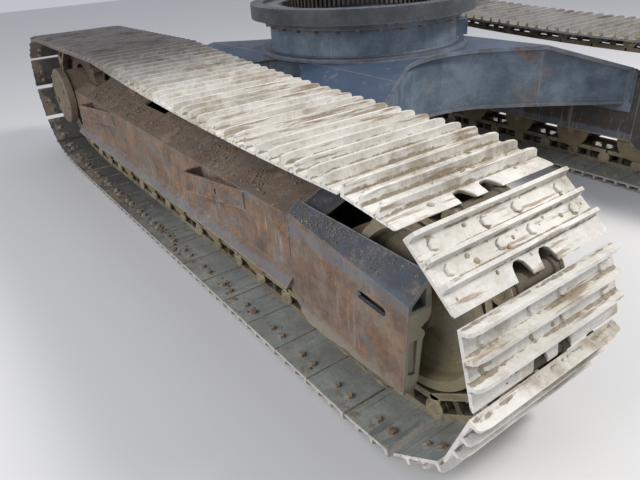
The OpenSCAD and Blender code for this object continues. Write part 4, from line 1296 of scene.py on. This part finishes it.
@dataclass(frozen=True)
class BoltRing:
    """Bolt heads in a circle on a face that looks along y.

    v is the place of the face, head the head's width, height and washer, and way 1 where the face looks outwards
    and -1 where it looks inwards. Each head is turned by spin or, where there is none, by its own angle.
    """

    v: float
    radius: float
    count: int
    phase: float
    head: tuple[float, ...]
    way: int = 1
    spin: float | None = None

    def build(self, side: Side, middle: tuple[float, float]) -> Shell:
        """Sets the heads round a middle.

        Args:
            side: Which track unit.
            middle: x and z of the circle's middle.

        Returns:
            All heads in one shell.
        """
        rows = np.insert(circle(self.radius, self.count, self.phase) + middle, 1, self.v, axis=1)
        turn = self.phase + np.arange(self.count) * TAU / self.count if self.spin is None else self.spin
        axis = np.array([0.0, side.value * self.way, 0.0])
        return hex_bolt(*self.head).placed(aim(on_side(side, rows), axis, turn))


@dataclass
class FrameUnit:
    """What lies on a track frame and its guide: welds, gravel, crusts of soil, mud in the steps and plugs."""

    side: Side
    materials: dict[str, Material]
    bend: tuple[float, float] = (0.1325, 0.4455)  # v and z of the sloping top's lower edge
    ridge: tuple[float, float] = (-0.058, 0.5215)  # v and z of its upper edge
    joint_x: float = 0.998  # of the frame and the guide
    guide_l: float = 0.542
    guide_bend: tuple[float, float] = (0.1355, 0.4585)  # v and z of the guide's bend at the joint
    flare: float = 0.034  # by which the guide's bend runs out and down to its front
    guide_top_v: float = 0.102
    guide_steep: float = 0.845  # rise over run of the guide's top
    step_x: tuple[float, float] = (0.720, -0.638)  # front ends of the steps
    step_l: float = 0.331
    step_z: float = 0.368
    rollers_x: tuple[float, ...] = tuple(-1.030 + 0.340 * k for k in range(7))
    plug_v: float = 0.116
    plug_z: float = 0.182

    def __post_init__(self) -> None:
        """Starts the random numbers."""
        self.rng = np.random.default_rng(40 + self.side.value)

    def slope(self, x0: float, x1: float, low: float, high: float) -> np.ndarray:
        """Corners of a part of the frame's sloping top, between shares of its width.

        Args:
            x0: Rear end.
            x1: Front end.
            low: Share at the lower border, 0 at the bend.
            high: Share at the upper one, 1 at the ridge.

        Returns:
            An array (4, 3), round the part.
        """
        (v0, z0), (v1, z1) = self.bend, self.ridge
        places = ((x0, low), (x1, low), (x1, high), (x0, high))
        return on_side(self.side, [(x, v0 + w * (v1 - v0), z0 + w * (z1 - z0)) for x, w in places])

    def guide_slope(self, x0: float, x1: float) -> np.ndarray:
        """Corners of a part of the guide's sloping top; the bend flares out and falls towards the front.

        Args:
            x0: Rear end.
            x1: Front end.

        Returns:
            An array (4, 3), round the part.
        """
        (v0, z0), top_v = self.guide_bend, self.guide_top_v
        out = [self.flare * ((x - self.joint_x) / self.guide_l) for x in (x0, x1)]
        low = [(x, v0 + o, z0 - o) for x, o in zip((x0, x1), out)]
        top = [(x, top_v, z + (v - top_v) * self.guide_steep) for x, v, z in low]
        return on_side(self.side, [low[0], low[1], top[1], top[0]])

    def soil(self) -> tuple[Shell, Shell]:
        """Crusts and gravel on the sloping tops, to the rear of, beside and in front of the carrier roller's opening.

        Returns:
            The crusts and the stones.
        """
        rng, hole = self.rng, (-0.49, -0.19)
        crusts = [crust(self.slope(-1.12, hole[0], 0.02, 0.97), 0.35, rng),
                  crust(self.slope(*hole, 0.02, 0.56), 0.3, rng),
                  crust(self.slope(hole[1], 0.985, 0.02, 0.97), 0.15, rng)]
        stones = [scattered(self.slope(-1.10, hole[0], 0.1, 0.95), 260, (0.0016, 0.006), rng),
                  scattered(self.slope(*hole, 0.1, 0.56), 200, (0.0016, 0.006), rng),
                  scattered(self.slope(hole[1], 0.98, 0.1, 0.97), 1400, (0.0014, 0.005), rng, -0.1),
                  scattered(self.guide_slope(1.01, 1.52), 900, (0.0010, 0.0032), rng, -0.1)]
        return Shell.join(crusts), Shell.join(stones)

    def step_mud(self, front: float) -> Shell:
        """Mud packed into a step, up to its rim in front and falling away to the rear.

        The top's height runs over given heights along the step, plus uneven noise, less a hollow across it.

        Args:
            front: Place of the step's front end.

        Returns:
            A closed shell.
        """
        t = np.linspace(0, 1, 30)[:, None]
        w = np.linspace(0, 1, 9)[None, :]
        x = front - 0.052 - 0.264 * t + 0 * w
        v = 0.1322 + w * np.interp(t, [0, 0.93, 1], [0.0035, 0.0672, 0.058])
        z = self.step_z + np.interp(t, [0, 0.5, 0.68, 0.8, 1], [0.0705, 0.067, 0.050, 0.024, 0.014])
        z = z + 0.004 * uneven(x, v, 0.03, self.rng) - 0.006 * (w - 0.3) ** 2
        y = self.side.value * (GAUGE / 2 + v)
        return slab(np.stack([x, y, z], -1), np.stack([x, y, np.full_like(x, self.step_z + 0.003)], -1))

    def welds(self) -> Shell:
        """Beads round the joint of the frame and the guide, and where the steps meet the frame.

        Returns:
            The beads.
        """
        x, (v0, z0), (v1, z1) = self.joint_x - 0.003, self.bend, self.ridge
        side_v = v0 + 0.001
        joint = on_side(self.side, [(x, side_v, 0.245), (x, side_v, z0), (x, v1 + 0.01, z1)])
        beads = [weld(joint, 0.0055, 0.22, self.rng)]
        for front in self.step_x:
            for end in (front - 0.002, front - self.step_l):
                edge = [(end, side_v, self.step_z + 0.004), (end, side_v, self.step_z + 0.068)]
                beads.append(weld(on_side(self.side, edge), 0.005, 0.2, self.rng))
        return Shell.join(beads)

    def edge_mud(self) -> Shell:
        """A crust of mud under the lower edge of the skirt and of the guide, with uneven thickness.

        Returns:
            The two crusts.
        """
        rng, step, wobble, flat = self.rng, 0.010, 0.45, 0.8
        skirt = run_along(on_side(self.side, [(-1.29, 0.158, 0.2035), (0.985, 0.158, 0.2035)]), step)
        size = 0.0030 + 0.0055 * uneven(skirt[:, 0], skirt[:, 2], 0.05, rng).clip(-0.5, 1)
        guide = run_along(on_side(self.side, [(1.09, 0.158, 0.1385), (1.20, 0.163, 0.138), (1.50, 0.181, 0.151)]),
                          step)
        thin = 0.0022 + 0.003 * uneven(guide[:, 0], 0 * guide[:, 0], 0.04, rng).clip(-0.6, 1)
        return Shell.join([lumpy_bead(skirt, size.clip(0.0006), wobble, rng, flat),
                           lumpy_bead(guide, thin.clip(0.0005), wobble, rng, flat)])

    def roller_ends(self) -> Shell:
        """A hexagon plug on each end of every bottom roller's axle.

        Returns:
            All plugs.
        """
        rows = [(x, v, self.plug_z) for x in self.rollers_x for v in (self.plug_v, -self.plug_v)]
        axes = np.array([[0.0, self.side.value * math.copysign(1, v), 0.0] for _, v, _ in rows])
        return hex_bolt(0.030, 0.008, 0.004).placed(aim(on_side(self.side, rows), axes, 0.5))

    def build(self) -> None:
        """Makes the pieces of this unit."""
        m, word = self.materials, self.side.word
        crusts, stones = self.soil()
        fill = Shell.join([self.step_mud(front) for front in self.step_x])
        make_piece(f"frame_soil_{word}", [(crusts, m["slope_soil"]), (fill, m["slope_soil"]), (stones, m["stone"])],
                   "root", smooth=60)
        make_piece(f"frame_welds_{word}", [(self.welds(), m["weld"])], "root", smooth=60)
        make_piece(f"edge_mud_{word}", [(self.edge_mud(), m["mud"])], "root", smooth=60)
        make_piece(f"roller_plugs_{word}", [(self.roller_ends(), m["bolt_rust"])], "root")


@dataclass
class Drive:
    """Fasteners of a final drive, its sprocket, its bracket and its travel motor."""

    side: Side
    materials: dict[str, Material]
    middle: tuple[float, float] = (-1.470, 0.398)
    cover: tuple[BoltRing, ...] = (BoltRing(0.184, 0.142, 12, 0.2, (0.018, 0.006, 0.0015)),
                                   BoltRing(0.189, 0.104, 2, math.radians(20), (0.016, 0.005), spin=0.3))
    inner: tuple[BoltRing, ...] = (BoltRing(-0.057, 0.198, 14, 0.1, (0.022, 0.010, 0.002), -1),
                                   BoltRing(-0.130, 0.142, 12, 0.15, (0.022, 0.010, 0.002), -1),
                                   BoltRing(-0.168, 0.100, 6, 0.4, (0.014, 0.006), -1))

    def build(self) -> None:
        """Bolts and hexagon plugs of the cover, and bolts of the sprocket's flange, the bracket and the motor."""
        cover, inner = (Shell.join([ring.build(self.side, self.middle) for ring in rings])
                        for rings in (self.cover, self.inner))
        make_piece(f"drive_bolts_{self.side.word}", [(cover, self.materials["drive_paint"]),
                                                     (inner, self.materials["bolt_rust"])], "root")


@dataclass
class Middle:
    """Fasteners and welds of the car body, its turret and the centre swivel joint."""

    materials: dict[str, Material]

    def __post_init__(self) -> None:
        """Starts the random numbers."""
        self.rng = np.random.default_rng(77)

    def turret_welds(self) -> Shell:
        """Rings of weld round the base plate and the foot of the tube.

        Returns:
            Both rings.
        """
        rings = []
        for radius, z, size in ((0.5015, 0.685, 0.006), (0.4615, 0.7015, 0.005)):
            path = ring_places(radius, 480, z)
            rings.append(lumpy_bead(np.concatenate([path, path[:1]]), size, 0.18, self.rng))
        return Shell.join(rings)

    def leg_welds(self) -> Shell:
        """Beads where each leg meets its end plate: along the top, and down both sides.

        Returns:
            All beads.
        """
        face, top, side_top, foot = 0.8425, 0.5425, 0.535, 0.385
        runs = [[(0.612, face, top), (0.962, face, top)], [(0.969, face, side_top), (0.969, face, foot)],
                [(0.600, face, side_top), (0.600, face, foot)]]
        return Shell.join([weld(np.array(run) * np.array([sx, sy, 1]), 0.005, 0.2, self.rng)
                           for sx in (1, -1) for sy in (1, -1) for run in runs])

    def plugs(self, name: str, body: str, radius: float, z: float) -> None:
        """Six hexagon plugs round a part of the swivel joint.

        Args:
            name: Name of the piece.
            body: The CAD body that it moves with.
            radius: Radius of the part's wall.
            z: Height.
        """
        places = ring_places(radius, 6, z)
        axes = places * np.array([1.0, 1.0, 0.0])
        heads = hex_bolt(0.030, 0.012, 0.003).placed(aim(places - 0.0005 * axes / radius, axes, 0.2))
        make_piece(name, [(heads, self.materials["machined_steel"])], body)

    def build(self) -> None:
        """Makes the pieces of the middle."""
        m = self.materials
        bolts = hex_bolt(0.021, 0.010, 0.0015).placed(aim(ring_places(0.4685, 30, 0.8145, 0.1), DOWN, 0.3))
        make_piece("turret_bolts", [(bolts, m["bolt_paint"])], "root")
        make_piece("turret_welds", [(self.turret_welds(), m["body_weld"])], "root", smooth=60)
        make_piece("leg_welds", [(self.leg_welds(), m["body_weld"])], "root", smooth=60)
        self.plugs("swivel_plugs", "root", 0.108, 0.525)
        self.plugs("rotor_plugs", "swivel", 0.102, 0.685)


# ---------------------------------------------------------------- the stage


@dataclass(frozen=True)
class Photographer:
    """Camera, lamps and floor."""

    place: Point = (2.287, -1.906, 1.164)
    yaw: float = 2.540
    pitch: float = -0.491
    roll: float = -0.063
    focal_px: float = 564.0
    width_px: float = 640.0
    sensor_mm: float = 36.0
    sky: tuple[float, ...] = (0.86, 0.9, 1.0, 1)
    sky_strength: float = 0.60
    floor_half: float = 14.0
    floor_colour: tuple[float, ...] = (0.66, 0.655, 0.645, 1)

    def camera(self) -> None:
        """Places the camera at the photograph's viewing angle."""
        data = bpy.data.cameras.new("photo_camera")
        data.sensor_width = self.sensor_mm
        data.lens = self.focal_px / self.width_px * self.sensor_mm
        data.clip_start, data.clip_end = 0.02, 60.0
        camera = bpy.data.objects.new("photo_camera", data)
        ahead = np.array([math.cos(self.pitch) * math.cos(self.yaw), math.cos(self.pitch) * math.sin(self.yaw),
                          math.sin(self.pitch)])
        right = np.cross(ahead, UP)
        right /= np.linalg.norm(right)
        up = np.cross(right, ahead)
        c, s = math.cos(self.roll), math.sin(self.roll)
        columns = np.stack([c * right + s * up, c * up - s * right, -ahead, np.array(self.place)], axis=1)
        camera.matrix_world = Matrix([*columns, (0, 0, 0, 1)])
        bpy.context.scene.collection.objects.link(camera)
        bpy.context.scene.camera = camera

    @staticmethod
    def lamp(name: str, place: Point, target: Point, size: float, watts: float,
             colour: tuple[float, float, float]) -> None:
        """Hangs a soft square lamp that looks at a target.

        Args:
            name: Name of the lamp.
            place: Where it hangs.
            target: The point that it looks at.
            size: Length of its sides.
            watts: Its power.
            colour: Red, green and blue.
        """
        data = bpy.data.lights.new(name, "AREA")
        data.shape, data.size, data.energy, data.color = "SQUARE", size, watts, colour
        lamp = bpy.data.objects.new(name, data)
        frame_at = aim(np.array([place]), np.array(place) - np.array(target))[0]
        lamp.matrix_world = Matrix([*frame_at, (0, 0, 0, 1)])
        bpy.context.scene.collection.objects.link(lamp)

    def studio(self) -> None:
        """Lights the world evenly, adds the lamps and lays the pale floor."""
        scene = bpy.context.scene
        scene.view_settings.view_transform = "Standard"
        world = bpy.data.worlds.new("soft world")
        world.use_nodes = True
        light = world.node_tree.nodes["Background"].inputs
        light["Color"].default_value, light["Strength"].default_value = self.sky, self.sky_strength
        scene.world = world
        self.lamp("key", (3.4, 2.6, 4.6), (0.4, -0.2, 0.3), 1.3, 300.0, (1.0, 0.97, 0.93))
        self.lamp("fill", (0.6, -5.2, 3.0), (0.2, 0.0, 0.3), 3.0, 130.0, (0.98, 0.98, 1.0))
        corners = [(x * self.floor_half, y * self.floor_half, 0.0) for x, y in ((-1, -1), (1, -1), (1, 1), (-1, 1))]
        mesh = bpy.data.meshes.new("floor")
        mesh.from_pydata(corners, [], [(0, 1, 2, 3)])
        floor = bpy.data.objects.new("floor", mesh)
        material = bpy.data.materials.new("pale floor")
        material.use_nodes = True
        shader = material.node_tree.nodes["Principled BSDF"]
        shader.inputs["Base Color"].default_value = self.floor_colour
        shader.inputs["Roughness"].default_value = 0.9
        mesh.materials.append(material)
        scene.collection.objects.link(floor)


def dress_nodes(materials: dict[str, Material]) -> None:
    """Gives every CAD node the finish of its material slot.

    Args:
        materials: Materials by slot name.
    """
    for row in frame["record"]["subparts"]:
        node = frame["nodes"][row["node"]]
        node.data.materials.clear()
        node.data.materials.append(materials[row["material_slot"]])


def main() -> None:
    """Builds the scene piece by piece."""
    logging.basicConfig(level=logging.INFO, format="%(name)s: %(message)s")
    photographer = Photographer()
    photographer.camera()
    photographer.studio()
    patterns = Patterns()
    materials = {key: Coat(finish, patterns).build() for key, finish in FINISHES.items()}
    dress_nodes(materials)
    for side in Side:
        Track(side, materials).build()
        FrameUnit(side, materials).build()
        Drive(side, materials).build()
    Middle(materials).build()
    bpy.context.view_layer.update()


if __name__ == "__main__":
    main()
